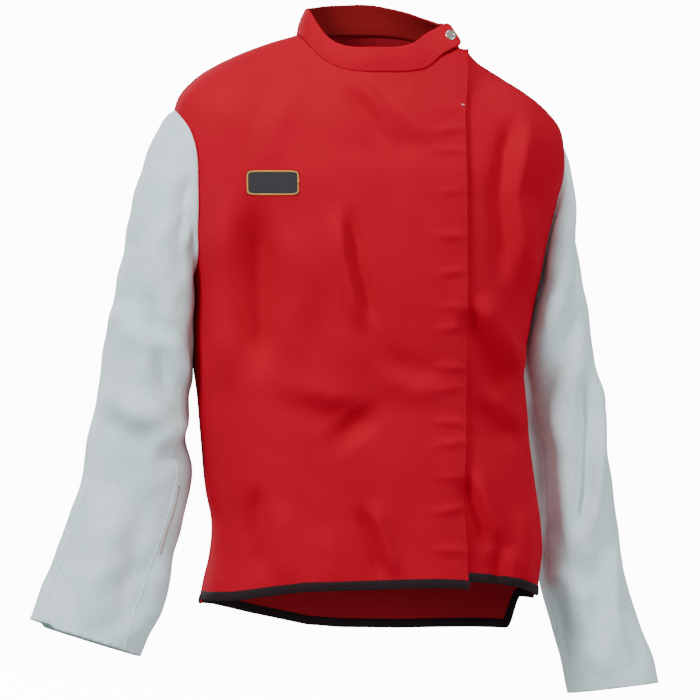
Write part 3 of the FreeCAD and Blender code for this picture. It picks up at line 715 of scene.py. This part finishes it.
def smoothed(table, times):
    """Points drawn toward their neighbours, the ends kept."""
    for _ in range(times):
        table[1:-1] = (table[:-2] + 2 * table[1:-1] + table[2:]) / 4
    return table


def hem_spine(layer, start, end, hem, low, high):
    """Line along a hem: each turn's point where the cloth meets its hem height."""
    turns = np.linspace(start, end, 500)
    rows = np.full(len(turns), row_at(-690))
    for _ in range(6):
        place = trunk_point(turns, rows, layer)
        rows = row_at(hem(place[:, 0], place[:, 1]))
    place = trunk_point(turns, rows, layer)
    around = trunk_point(turns + SMALL_TURN, rows, layer) - trunk_point(turns - SMALL_TURN, rows, layer)
    down = trunk_point(turns, np.minimum(rows + 0.03, LAST), layer) - trunk_point(turns, rows - 0.03, layer)
    normal = units(np.cross(down, around))
    chosen = (place[:, 0] >= low) & (place[:, 0] <= high)
    return place[chosen], normal[chosen]


FAR = 1e9     # past every point
# Section of the binding: how far up from the hem, and how far out of the cloth.
BIND = [(9.6, 0.1), (9.4, 0.85), (5, 1.1), (0.5, 1.15), (-1.4, 0.7), (-2.0, -0.6), (-1.4, -1.9),
        (0.5, -2.3), (5, -2.25), (9.4, -2.0), (9.6, -1.3)]


def evenly(spine, normals, step):
    """Resamples a line and its normals at even spacing."""
    run = lengths_along(spine)
    at = np.linspace(0, run[-1], max(3, int(run[-1] / step) + 1))
    made = [np.stack([np.interp(at, run, table[:, k]) for k in range(3)], -1) for table in (spine, normals)]
    return made[0], units(made[1])


def binding(name, layer, start, end, hem, low=-FAR, high=FAR):
    """Strip folded over a hem, between two places sideways."""
    spine, normals = hem_spine(layer, start, end, hem, low, high)
    spine, normals = evenly(smoothed(spine, 3), smoothed(normals, 3), 3.0)
    made = swept(name, spine, normals, BIND, tape)
    top = np.array([p.co.z for p in made.data.vertices]).max() / MM
    if top - spine[:, 2].max() < 4:       # the strip has to stand on the cloth, above its edge
        bpy.data.objects.remove(made)
        made = swept(name, spine, normals, BIND, tape, flip=True)
    return made


back_binding = binding("back_hem_binding", "back", 0.02, math.pi - 0.02, hem_back)
right_binding = binding("right_hem_binding", "right", math.pi + 0.01, 2 * math.pi, hem_right,
                        high=float(overlap_x(-680)) - 0.2)
left_binding = binding("left_hem_binding", "left", 1.5 * math.pi - 0.1, 2 * math.pi - 0.01, hem_left,
                       low=UNDERLAP_X + 0.4)


def stitch_row(name, tree, line, material, long=2.6, space=4.0, thick=0.55, lift=0.15):
    """Row of separate stitches along a line laid on a surface."""
    spots, normals = on_surface(tree, line, lift)
    spots, normals = evenly(smoothed(spots, 1), normals, space)
    points, faces = [], []
    for i in range(len(spots) - 1):
        ahead = spots[i + 1] - spots[i]
        length = np.linalg.norm(ahead)
        if length < 1e-6:
            continue
        ahead = ahead / length
        side = np.cross(normals[i], ahead)
        base = len(points)
        half = thick / 2
        for along, grow in ((0, 0.5), (long * 0.5, 1.0), (long, 0.5)):
            here = spots[i] + ahead * along
            for a, b in ((-half, 0), (0, half), (half, 0), (0, -half)):
                points.append(tuple(here + side * a * grow + normals[i] * b * grow))
        for k in range(2):
            for j in range(4):
                a, b = base + 4 * k + j, base + 4 * k + (j + 1) % 4
                faces.append((a, b, b + 4, a + 4))
        faces += [(base, base + 3, base + 2, base + 1), (base + 8, base + 9, base + 10, base + 11)]
    return add_mesh(name, points, faces, [material], smooth=False)


def spread(points, count):
    """A flat line through the given points, as count evenly spaced ones."""
    points = np.asarray(points, float)
    run = lengths_along(points)
    at = np.linspace(0, run[-1], count)
    return np.stack([np.interp(at, run, points[:, 0]), np.interp(at, run, points[:, 1])], -1)


def cast(tree, line):
    """Points of the surface met from the front at each (x, z)."""
    found = []
    for x, z in line:
        place, _, _, _ = tree.ray_cast(Vector((x, -400, z)), Vector((0, 1, 0)))
        if place is not None:
            found.append(tuple(place))
    return np.array(found)


def edge_stitching(name, inset, top, **look):
    """Row of stitches inside the free edge of the right front."""
    heights = np.linspace(top, -668, 160)
    line = np.stack([overlap_x(heights) - inset, heights], -1)
    return stitch_row(name, body_tree, cast(body_tree, line), thread, **look)


neck_turns = np.linspace(math.pi + 0.1, 1.5 * math.pi + 0.45, 200)
neck_stitches = stitch_row("neckline_stitches", body_tree, trunk_point(neck_turns, 0.13, "right"), thread)
edge_stitches = edge_stitching("overlap_stitches", 2.0, -30)
edge_stitches_in = edge_stitching("overlap_stitches_inner", 7.5, -36, thick=0.4)
bartack_line = spread([(93, -79), (97.5, -79.5)], 12)
bartack = stitch_row("overlap_bartack", body_tree, cast(body_tree, bartack_line), pale_thread,
                     long=0.9, space=0.9, thick=1.7)


def hem_stitches(name, layer, start, end, hem, low=-FAR, high=FAR, tree=body_tree):
    """Row of stitches along the upper edge of a binding."""
    spine, _ = hem_spine(layer, start, end, lambda x, y: hem(x, y) + 8.2, low, high)
    return stitch_row(name, tree, spine, dark_thread, lift=1.1, thick=0.5)


right_hem_stitches = hem_stitches("right_hem_stitches", "right", math.pi + 0.02, 2 * math.pi, hem_right,
                                  high=float(overlap_x(-672)) - 1)
left_hem_stitches = hem_stitches("left_hem_stitches", "left", 1.5 * math.pi + 0.5, 2 * math.pi - 0.02,
                                 hem_left, low=OVERLAP_X + 1, tree=left_tree)

# ---- standing collar ----

CREST = [2, -84, 87, 3, -72, 79, 41, 24, -8, 48]     # the same fields as the top rings
COLLAR_THICK = 2.3
COLLAR_RADIUS = 98.0     # turns a length along the tab into an angle round the band


def collar_point(turn, up):
    """Point of the collar band; up is 0 at the neckline and 1 at the crest."""
    turn, up = np.broadcast_arrays(np.asarray(turn, float), np.asarray(up, float))
    base = trunk_shape(turn, np.zeros(turn.shape))
    crest = oval(CREST, turn, 0.94, 5.5)
    here = base + (crest - base) * up[..., None]
    out = units(np.stack([np.cos(turn), np.sin(turn), np.full(turn.shape, 0.5)], -1))
    belly = 1.6 * np.sin(np.pi * up) + 0.7 * waves(turn * 95, up * 30, 70, 9) * ease(up, 0, 0.4)
    return here + out * belly[..., None]


def hinge_turn():
    """Turn at which the collar meets the tab's hinge edge, for its lower and upper ends."""
    turns = np.linspace(1.5 * math.pi, 2 * math.pi, 400)
    ends = []
    for up, target in ((0.0, TAB_CORNER[0]), (1.0, (TAB_CORNER + TAB_TALL * TAB_UP)[0])):
        x = collar_point(turns, up)[:, 0]
        ends.append(float(np.interp(target, x, turns)))
    return ends


HINGE_LOW, HINGE_HIGH = hinge_turn()


def collar_grid(end_low, end_high, columns, foot=0.0):
    """Turns and heights of a grid of the band, from the right side to an end that may slant."""
    share = np.append(np.linspace(0, 1, columns)[:-1], [0.999, 1.0])[None, :]
    up = np.linspace(foot, 1, 14)[:, None]
    low = math.pi + (end_low - math.pi) * share
    high = math.pi + (end_high - math.pi) * share
    turn = low + (high - low) * up
    return turn, np.broadcast_to(up, turn.shape)


def collar_mesh(name, table):
    """Band of the collar from its grid of points, with painted shade, a darker red, on its inner face."""
    rows, columns = table.shape[:2]
    points = with_flat(table, lengths_along(table[0])[None, :], np.linspace(0, 34, rows)[:, None])
    faces = turn_out(points, grid_faces(rows, columns), np.zeros(3))
    made = add_mesh(name, points, faces, [red_cloth, red_shade])
    return thicken(made, COLLAR_THICK, inside=True)


front_table = collar_point(*collar_grid(HINGE_LOW, HINGE_HIGH, 90))
front_collar = collar_mesh("collar_right_front", front_table)

# The left end of the band follows the inside of the tab.
UNDER_END = HINGE_LOW + 0.28 - 2 * math.pi
rear_turn, rear_up = collar_grid(UNDER_END, UNDER_END + 0.12, 190, foot=-0.16)
rear_table = collar_point(rear_turn, rear_up)
to_tab = (rear_table - TAB_CORNER) @ TAB_OUT
push = (-1.9 - to_tab) * ease(-rear_turn, 0.12, 0.72)
rear_table = rear_table + TAB_OUT * np.maximum(push, 0)[..., None]
rear_collar = collar_mesh("collar_band", rear_table)


def tab_table():
    """Grid over the tab: it leaves the band's curve and lies flat by the snap."""
    along, up = np.meshgrid(np.append([0.0, 0.12], np.linspace(1.5, TAB_LONG, 44)), np.linspace(0, 1, 16))
    turn = HINGE_LOW + (HINGE_HIGH - HINGE_LOW) * up + along / COLLAR_RADIUS
    flat = on_tab(along[..., None], (up * TAB_TALL)[..., None])
    bow = 0.9 * np.sin(np.pi * np.clip(along / TAB_LONG, 0, 1))
    share = ease(along, 0, 38)[..., None]
    points = collar_point(turn, up) * (1 - share) + flat * share + bow[..., None] * TAB_OUT
    return points, along, up * TAB_TALL


tab_points, tab_along, tab_up = tab_table()
ROUND = 6.5
over_x = tab_along - (TAB_LONG - ROUND)
over_y = np.abs(tab_up - TAB_TALL / 2) - (TAB_TALL / 2 - ROUND)
tab_keep = ROUND - np.where((over_x > 0) & (over_y > 0), np.hypot(over_x, over_y), 0.0)
tab_flat = np.concatenate([tab_points, tab_along[..., None], tab_up[..., None]], -1).reshape(-1, 5)
tab_cut = trim(tab_flat, grid_faces(*tab_points.shape[:2]), tab_keep.reshape(-1))
tab_faces = turn_out(*tab_cut, np.array([20.0, 0.0, 0.0]))
tab_piece = thicken(add_mesh("collar_tab_cloth", tab_cut[0], tab_faces, [red_cloth]), COLLAR_THICK)


def surface_tree(table):
    """Search tree of a grid of points."""
    rows, columns = table.shape[:2]
    return BVHTree.FromPolygons([tuple(p) for p in table.reshape(-1, 3)], grid_faces(rows, columns))


def collar_stitches(name, table, start, end, up):
    """Row of stitches round part of the band, at one height."""
    line = collar_point(np.linspace(start, end, 160), up)
    return stitch_row(name, surface_tree(table), line, thread)


front_crest_stitches = collar_stitches("collar_front_stitches_top", front_table, math.pi, HINGE_HIGH, 0.90)
front_base_stitches = collar_stitches("collar_front_stitches_low", front_table, math.pi, HINGE_LOW, 0.08)
rear_crest_stitches = collar_stitches("collar_band_stitches_top", rear_table, 0.1, math.pi, 0.90)
TAB_INSET = 3.2     # stitches from the tab's edge
inner_long, inner_tall = TAB_LONG - TAB_INSET, TAB_TALL - TAB_INSET
tab_outline = [(0.0, TAB_INSET), (TAB_LONG - 7, TAB_INSET), (TAB_LONG - 4, TAB_INSET + 2),
               (inner_long, TAB_INSET + 5), (inner_long, inner_tall - 5),
               (TAB_LONG - 4.2, inner_tall - 2), (TAB_LONG - 7, inner_tall), (0.0, inner_tall)]
outline_2d = spread(tab_outline, 150)
tab_stitches = stitch_row("collar_tab_stitches", surface_tree(tab_points),
                          on_tab(outline_2d[:, :1], outline_2d[:, 1:]), thread)

# ---- sleeves ----

# Level rings of each sleeve under the armpit: height, centre x and y, half width, half depth.
RIGHT_RINGS = [
    (-352, -275, 28, 51, 80), (-400, -280, 31, 54, 76), (-448, -287, 33, 58, 73), (-496, -292, 34, 63, 70),
    (-544, -294, 32, 68, 66), (-592, -308, 27, 71, 61), (-640, -325, 21, 72.5, 56), (-688, -344, 14, 74, 52),
    (-736, -364, 7, 75.5, 49), (-784, -380, 2, 76, 48),
]
LEFT_RINGS = [
    (-352, 242, 42, 45, 84), (-405, 246, 44, 47, 84), (-458, 252, 46, 48, 81), (-511, 260, 45, 49, 77),
    (-564, 268, 43, 51.5, 73), (-617, 273, 39.5, 54, 70), (-670, 278, 35, 56, 67.5),
    (-723, 292, 29.5, 56.5, 66), (-776, 309, 23.5, 58, 66), (-829, 319, 19, 59, 66),
]
RIGHT_FOLDS = [
    ("step", 5.5, 13, [(-292, -318), (-266, -395), (-246, -446)], 0.3),
    ("step", -5.0, 14, [(-330, -312), (-298, -350), (-262, -384)], 0.3),
    ("ridge", 3.5, 22, [(-264, -120), (-286, -230), (-300, -330)], 0.35),
    ("valley", 4.0, 15, [(-244, -130), (-252, -230), (-262, -320)], 0.35),
    ("step", 4.5, 16, [(-352, -446), (-312, -474), (-258, -490)], 0.35),
    ("step", -3.8, 13, [(-228, -470), (-256, -498), (-296, -516)], 0.35),
    ("valley", 4.0, 16, [(-286, -548), (-306, -640), (-334, -742)], 0.3),
    ("ridge", 4.5, 20, [(-330, -560), (-348, -640), (-378, -728)], 0.3),
    ("valley", 2.8, 12, [(-362, -600), (-384, -680), (-402, -724)], 0.3),
    ("step", 3.0, 12, [(-268, -620), (-284, -680), (-300, -740)], 0.35),
]
LEFT_FOLDS = [
    ("step", -5.5, 13, [(262, -176), (252, -236), (246, -300), (228, -372), (212, -440)], 0.25),
    ("step", 6.5, 8, [(270, -404), (275, -470), (272, -560), (262, -632)], 0.2),
    ("ridge", 3.5, 15, [(232, -430), (238, -530), (248, -640)], 0.3),
    ("valley", 3.2, 14, [(216, -470), (224, -560), (236, -640)], 0.3),
    ("step", 3.6, 13, [(304, -610), (292, -690), (296, -770)], 0.3),
    ("ridge", 3.6, 16, [(262, -670), (276, -740), (292, -810)], 0.3),
    ("step", -3.2, 12, [(240, -648), (262, -680), (290, -690)], 0.35),
    ("valley", 3.0, 14, [(318, -690), (330, -750), (338, -800)], 0.3),
]


def trunk_side(side, y, z):
    """How far sideways the trunk's skin stands at this height and depth; 0 where it isn't."""
    rows = row_at(np.minimum(z, -160))
    right, left, cy, front, back = [through(RINGS[:, k], rows) for k in (1, 2, 3, 4, 5)]
    reach = np.where(y > cy, back - cy, cy - front)
    share = np.abs(y - cy) / reach
    wide = left if side > 0 else -right
    return wide * np.maximum(1 - np.minimum(share, 1) ** FULL, 0) ** (1 / FULL)


def armhole_ring(side, loop, turns):
    """Points of the armhole seam on the trunk's side."""
    at = turns / (2 * math.pi) * len(loop)
    closed = np.vstack([loop, loop[:1]])
    y = np.interp(at, np.arange(len(closed)), closed[:, 0])
    z = np.interp(at, np.arange(len(closed)), closed[:, 1])
    x = []
    for a, b in zip(y, z):
        place, _, _, _ = body_tree.ray_cast(Vector((side * 500, a, b)), Vector((-side, 0, 0)))
        x.append(place.x if place is not None else side * 240)
    x = np.array(x)
    for _ in range(4):
        x = (np.roll(x, 1) + 2 * x + np.roll(x, -1)) / 4
    return np.stack([x, y, z], -1)


SLEEVE_COLUMNS, HEADROOM, RING_STEPS = ((120, 64, 12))
SLEEVE_FOLD_GAIN = 1.8    # how far the folds stand, against the heights listed
SLEEVE_RADIUS = 62        # mean; turns the angle round a sleeve into a length
ROW_LENGTH = 4.0          # mean distance between two rows of the grid


def sleeve_table(side, loop, rings, folds, head, seed):
    """Grid of a sleeve from the armhole to the cuff; turns start outside and go round the front."""
    turns = np.linspace(0, 2 * math.pi, SLEEVE_COLUMNS + 1)
    start = armhole_ring(side, loop, turns)
    rings = np.array(rings, float)
    levels = np.linspace(0, len(rings) - 1, (len(rings) - 1) * RING_STEPS + 1)
    z, cx, cy, wide, deep = [through(rings[:, k], levels)[:, None] for k in range(5)]
    c, s = np.cos(turns), np.sin(turns)
    lower = np.stack([cx + side * wide * squared(c, 0.92), cy - deep * squared(s, 0.92), z + 0 * c], -1)
    end = lower[0]
    weights = [np.maximum(c, 0) ** 2, np.maximum(s, 0) ** 2, np.maximum(-c, 0) ** 2, np.maximum(-s, 0) ** 2]
    leave = sum(w[:, None] * np.array(v, float) for w, v in zip(weights, head))
    drop = np.linalg.norm(end - start, axis=1, keepdims=True)
    t = np.linspace(0, 1, HEADROOM)[:, None, None]
    upper = hermite(start, leave, end, units(lower[1] - lower[0]) * drop, t)
    table = np.concatenate([upper[:-1], lower], 0)
    # folds stand along the surface normals
    around = np.roll(table, -1, 1) - np.roll(table, 1, 1)
    around[:, 0] = table[:, 1] - table[:, -2]
    around[:, -1] = around[:, 0]
    normal = units(np.cross(np.gradient(table, axis=0), around))
    centre = table[:, :-1].mean(1, keepdims=True)
    if ((table - centre) * normal).sum() < 0:
        normal = -normal
    x, y, z = table[..., 0], table[..., 1], table[..., 2]
    front = ease(-normal[..., 1], -0.25, 0.25)
    rise = np.zeros(x.shape)
    for kind, high, wave, points, fade in folds:
        rise += SLEEVE_FOLD_GAIN * fold(x, z, kind, high, wave, points, fade) * front
    girth = np.broadcast_to(np.minimum(turns, 2 * math.pi - turns) * SLEEVE_RADIUS, x.shape)
    rise += 2.4 * waves(girth, z * 0.55, 120, seed) + 0.8 * waves(girth, z * 0.8, 48, seed + 1)
    rise += 2.2 * np.sin(z / 21 + 1.4 * np.sin(girth / 40)) * np.exp(-((z + 455) / 85) ** 2) * (1 - front)
    rows = np.arange(len(table))[:, None]
    rise *= ease(rows, 0, 12)
    table = table + normal * rise[..., None]
    # the sleeve rests against the side of the trunk without passing through it
    skin = trunk_side(side, table[..., 1], table[..., 2])
    clear = skin + 0.8 + 1.6 * ease(rows, 0, 10)
    beside = (skin > 60) & (table[..., 2] > -700) & (rows > 0)
    out = np.where(beside, np.maximum(side * table[..., 0], clear), side * table[..., 0])
    table[..., 0] = side * out
    table[:, -1] = table[:, 0]
    return table, with_flat(table, (turns * SLEEVE_RADIUS)[None, :], -rows * ROW_LENGTH)


# How a sleeve leaves the armhole: at its outside, front, inside and back.
HEAD_RIGHT = [(-120, 4, -42), (-46, -26, -60), (-18, 0, -30), (-46, 26, -60)]
HEAD_LEFT = [(40, 4, -70), (34, -22, -70), (16, 0, -30), (46, 24, -60)]


def right_cuff(p):
    """Height over the right cuff's slanting edge."""
    x, y, z = p[:, 0], p[:, 1], p[:, 2]
    return z - (-743 - 0.325 * (x + 362) - 0.05 * (y - 6) + 4 * ease(-x, 408, 414))


def left_cuff(p):
    """Height over the left cuff's slanting edge."""
    x, y, z = p[:, 0], p[:, 1], p[:, 2]
    return z - (-815 + 0.103 * (x - 310) - 0.085 * (y - 18))


LEATHER = 1.6
right_table, right_grid = sleeve_table(-1, LOOP_RIGHT, RIGHT_RINGS, RIGHT_FOLDS, HEAD_RIGHT, 21)
left_table, left_grid = sleeve_table(1, LOOP_LEFT, LEFT_RINGS, LEFT_FOLDS, HEAD_LEFT, 31)


def sleeve(name, grid, cuff, rings):
    """One sleeve, cut off at its cuff, with the cut edge of the hide showing there."""
    heights, centre_x, centre_y = np.array(rings[::-1], float)[:, :3].T

    def middle(height):
        return np.array([np.interp(height, heights, centre_x), np.interp(height, heights, centre_y), height])

    faces = grid_faces(len(grid) // (SLEEVE_COLUMNS + 1), SLEEVE_COLUMNS + 1)
    points, faces = clipped(grid, faces, cuff)
    made = add_mesh(name, points, turn_out(points, faces, middle), [leather, leather_edge])
    thicken(made, LEATHER).modifiers["thickness"].material_offset_rim = 1
    return made


right_sleeve = sleeve("right_sleeve_leather", right_grid, right_cuff, RIGHT_RINGS)
left_sleeve = sleeve("left_sleeve_leather", left_grid, left_cuff, LEFT_RINGS)


def sleeve_line(table, turn, first):
    """Points down a sleeve at one turn round it, with the middle of the sleeve beside each."""
    at = turn / (2 * math.pi) * SLEEVE_COLUMNS
    j, share = int(at), at - int(at)
    line = table[:, j] * (1 - share) + table[:, j + 1] * share
    return line[first:], table[first:, :-1].mean(1)


def seam_ridge(name, table, turn, first, cuff, material=leather, wide=1.3, high=0.5):
    """Raised seam down a sleeve, as far as cuff is positive."""
    line, middle = sleeve_line(table, turn, first)
    kept = cuff(line) > 1.0
    line, away = line[kept], (line - middle)[kept]
    away[:, 2] = 0
    line, away = evenly(line, units(away), 4.0)
    profile = [(-wide, -0.4), (-wide * 0.7, high * 0.75), (0, high), (wide * 0.7, high * 0.75), (wide, -0.4)]
    return swept(name, line, away, profile, material)


def raw_edge(p):
    """Positive over the length where the under seam's raw edge shows."""
    return np.minimum(-548 - p[:, 2], p[:, 2] + 640)


right_under_seam = seam_ridge("right_under_seam", right_table, 0.70 * math.pi, HEADROOM, right_cuff)
right_raw_edge = seam_ridge("right_raw_edge", right_table, 0.73 * math.pi, HEADROOM, raw_edge, leather_edge,
                            wide=1.7, high=0.9)
right_outer_seam = seam_ridge("right_outer_seam", right_table, 0.13 * math.pi, int(HEADROOM * 0.1),
                              right_cuff, wide=1.4, high=0.45)
left_under_seam = seam_ridge("left_under_seam", left_table, 0.86 * math.pi, HEADROOM, left_cuff)
WELT = [(-1.5, -0.6), (-1.0, 0.45), (0, 0.7), (1.0, 0.45), (1.5, -0.6)]


def welt(name, table):
    """Welt along the armhole, where cotton and leather are sewn together."""
    spine = table[0, :-1]
    away = units((spine - np.array([0.0, 10.0, -230.0])) * np.array([1.0, 0.35, 0.2]))
    spine, away = evenly(spine + away * 0.2, away, 3.0)
    return swept(name, spine, away, WELT, red_cloth)


right_welt = welt("right_armhole_welt", right_table)
left_welt = welt("left_armhole_welt", left_table)

# ---- patch ----


PATCH_X, PATCH_Z = -147, -176
PATCH_HALF_WIDE, PATCH_HALF_TALL, PATCH_CORNER = 31, 15, 4.0


def patch_grid(columns=32, rows=18):
    """Points just over the cloth of the chest, and how far each is inside the patch's outline."""
    x = np.linspace(-PATCH_HALF_WIDE, PATCH_HALF_WIDE, columns)
    z = np.linspace(-PATCH_HALF_TALL, PATCH_HALF_TALL, rows)
    table = cast(body_tree, [(PATCH_X + a, PATCH_Z + b) for b in z for a in x]).reshape(rows, columns, 3)
    table[..., 1] -= 1.0
    over_x = np.abs(x)[None, :] - (PATCH_HALF_WIDE - PATCH_CORNER)
    over_z = np.abs(z)[:, None] - (PATCH_HALF_TALL - PATCH_CORNER)
    inside = PATCH_CORNER - np.hypot(np.maximum(over_x, 0), np.maximum(over_z, 0))
    return with_flat(table, x[None, :], z[:, None]), grid_faces(rows, columns), inside.reshape(-1)


patch_cut = trim(*patch_grid())
patch_piece = add_mesh("chest_patch_cloth", patch_cut[0], turn_out(*patch_cut, AXIS), [patch_cloth])
thicken(patch_piece, 0.9)
outline_turns = np.linspace(0, 2 * math.pi, 161)
rim_line = np.stack([squared(np.cos(outline_turns), 0.25) * (PATCH_HALF_WIDE - 0.8) + PATCH_X,
                     squared(np.sin(outline_turns), 0.25) * (PATCH_HALF_TALL - 0.8) + PATCH_Z], -1)
rim = cast(body_tree, rim_line)
rim[:, 1] -= 1.25
patch_rim = swept("chest_patch_border", rim, on_surface(body_tree, rim)[1],
                  [(-1.1, -0.6), (-0.7, 0.35), (0, 0.55), (0.7, 0.35), (1.1, -0.6)], patch_edge)

# ---- bodies the pieces follow, and the CAD parts they stand in for ----

# Two ends of the line down the wearer's right along which the front would fold open, in metres; no fold is
# built from them.
TOP, LOW = Vector((-0.058, -0.115, -0.030)), Vector((-0.112, -0.119, -0.690))
across_fold = Vector((0, 1, 0)).cross(TOP - LOW).normalized()
if across_fold.x < 0:
    across_fold = -across_fold
for piece in (right_piece, right_binding, right_hem_stitches, neck_stitches, front_collar,
              front_crest_stitches, front_base_stitches):
    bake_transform(piece)
for piece in (back_piece, left_piece, left_facing, back_binding, left_binding, left_hem_stitches, rear_collar,
              rear_crest_stitches, patch_piece, patch_rim, right_welt, left_welt):
    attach(piece, "jacket_body")
for piece in (flap_facing, edge_stitches, edge_stitches_in, bartack):
    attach(piece, "front_flap")
for piece in (tab_piece, tab_stitches):
    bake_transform(piece)
right_sleeve_pieces = (right_sleeve, right_under_seam, right_outer_seam, right_raw_edge)
left_sleeve_pieces = (left_sleeve, left_under_seam)
for pieces, body, side in ((right_sleeve_pieces, "sleeve_right", -1), (left_sleeve_pieces, "sleeve_left", 1)):
    for piece in pieces:
        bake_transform(piece)

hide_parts("back_panel")
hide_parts("front_right_side", "front_right_flap")
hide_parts("front_panel_left")
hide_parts("front_facing_flap")
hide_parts("front_facing_left")
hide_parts("hem_binding_back")
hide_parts("hem_binding_side", "hem_binding_flap")
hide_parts("hem_binding_left")
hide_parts("collar_outer_back", "collar_lining_back", "collar_underlap")
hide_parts("collar_outer_front", "collar_lining_front")
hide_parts("collar_tab_outer", "collar_tab_lining")
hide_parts("sleeve_right_front", "sleeve_right_back")
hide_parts("sleeve_left_front", "sleeve_left_back")
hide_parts("chest_patch")

for name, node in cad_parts.items():
    if "snap" in name:
        node.data.materials.clear()
        node.data.materials.append(nickel if name == "collar_snap_cap" else snap_metal)

# ---- floor, backdrop, light and camera ----

FLOOR, SKY = -0.98, 18.0
pale = plain("pale_floor", (0.94, 0.94, 0.94), 0.9)
glow = pale.node_tree.nodes["Principled BSDF"].inputs
glow["Emission Color"].default_value = (1, 1, 1, 1)
glow["Emission Strength"].default_value = 12.0
bpy.ops.mesh.primitive_circle_add(vertices=96, radius=SKY * 0.99, fill_type="NGON", location=(0, 0, FLOOR))
floor = bpy.context.object
bpy.ops.mesh.primitive_uv_sphere_add(segments=96, ring_count=48, radius=SKY, location=(0, 0, 0))
dome = bpy.context.object
dome.visible_shadow = False
for name, piece in (("floor", floor), ("studio_dome", dome)):
    piece.name = name
    piece.data.materials.append(pale)
    piece.visible_diffuse = False
    piece.visible_glossy = False


def area_light(name, place, size, power):
    """Rectangular lamp turned to the middle of the jacket."""
    data = bpy.data.lights.new(name, "AREA")
    data.shape = "RECTANGLE"
    data.size, data.size_y, data.energy = size[0], size[1], power
    lamp = bpy.data.objects.new(name, data)
    bpy.context.scene.collection.objects.link(lamp)
    lamp.location = place
    lamp.rotation_mode = "QUATERNION"
    lamp.rotation_quaternion = (MIDDLE - Vector(place)).to_track_quat("-Z", "Y")


MIDDLE = Vector((0.0, 0.0, -0.40))
area_light("key", (-2.5, -1.7, 1.3), (0.8, 0.8), 108)
area_light("fill", (2.2, -2.4, 0.1), (1.4, 1.6), 50)
area_light("rear", (-1.2, 3.0, 0.9), (1.4, 1.4), 70)
area_light("top", (0.2, -0.6, 2.0), (1.2, 1.0), 22)
world = bpy.data.worlds.new("studio")
world.use_nodes = True
sky = world.node_tree.nodes["Background"].inputs
sky["Color"].default_value = (1, 1, 1, 1)
sky["Strength"].default_value = 0.44
bpy.context.scene.world = world

camera_data = bpy.data.cameras.new("camera")
camera = bpy.data.objects.new("camera", camera_data)
bpy.context.scene.collection.objects.link(camera)
DISTANCE, TURN, RAISE = 8.0, math.radians(12), math.radians(1.5)
AIM = Vector((-0.0281, 0.006, -0.385))
back_to_eye = Vector((-math.sin(TURN) * math.cos(RAISE), -math.cos(TURN) * math.cos(RAISE), math.sin(RAISE)))
camera.location = AIM + back_to_eye * DISTANCE
camera.rotation_mode = "QUATERNION"
camera.rotation_quaternion = (-back_to_eye).to_track_quat("-Z", "Y")
SENSOR, FIELD = 36.0, 0.875      # sensor in millimetres; width in view at the jacket, in metres
camera_data.sensor_width = SENSOR
camera_data.lens = SENSOR * DISTANCE / FIELD
camera_data.clip_start, camera_data.clip_end = 0.5, 60.0
camera_data.dof.use_dof = False
bpy.context.scene.camera = camera
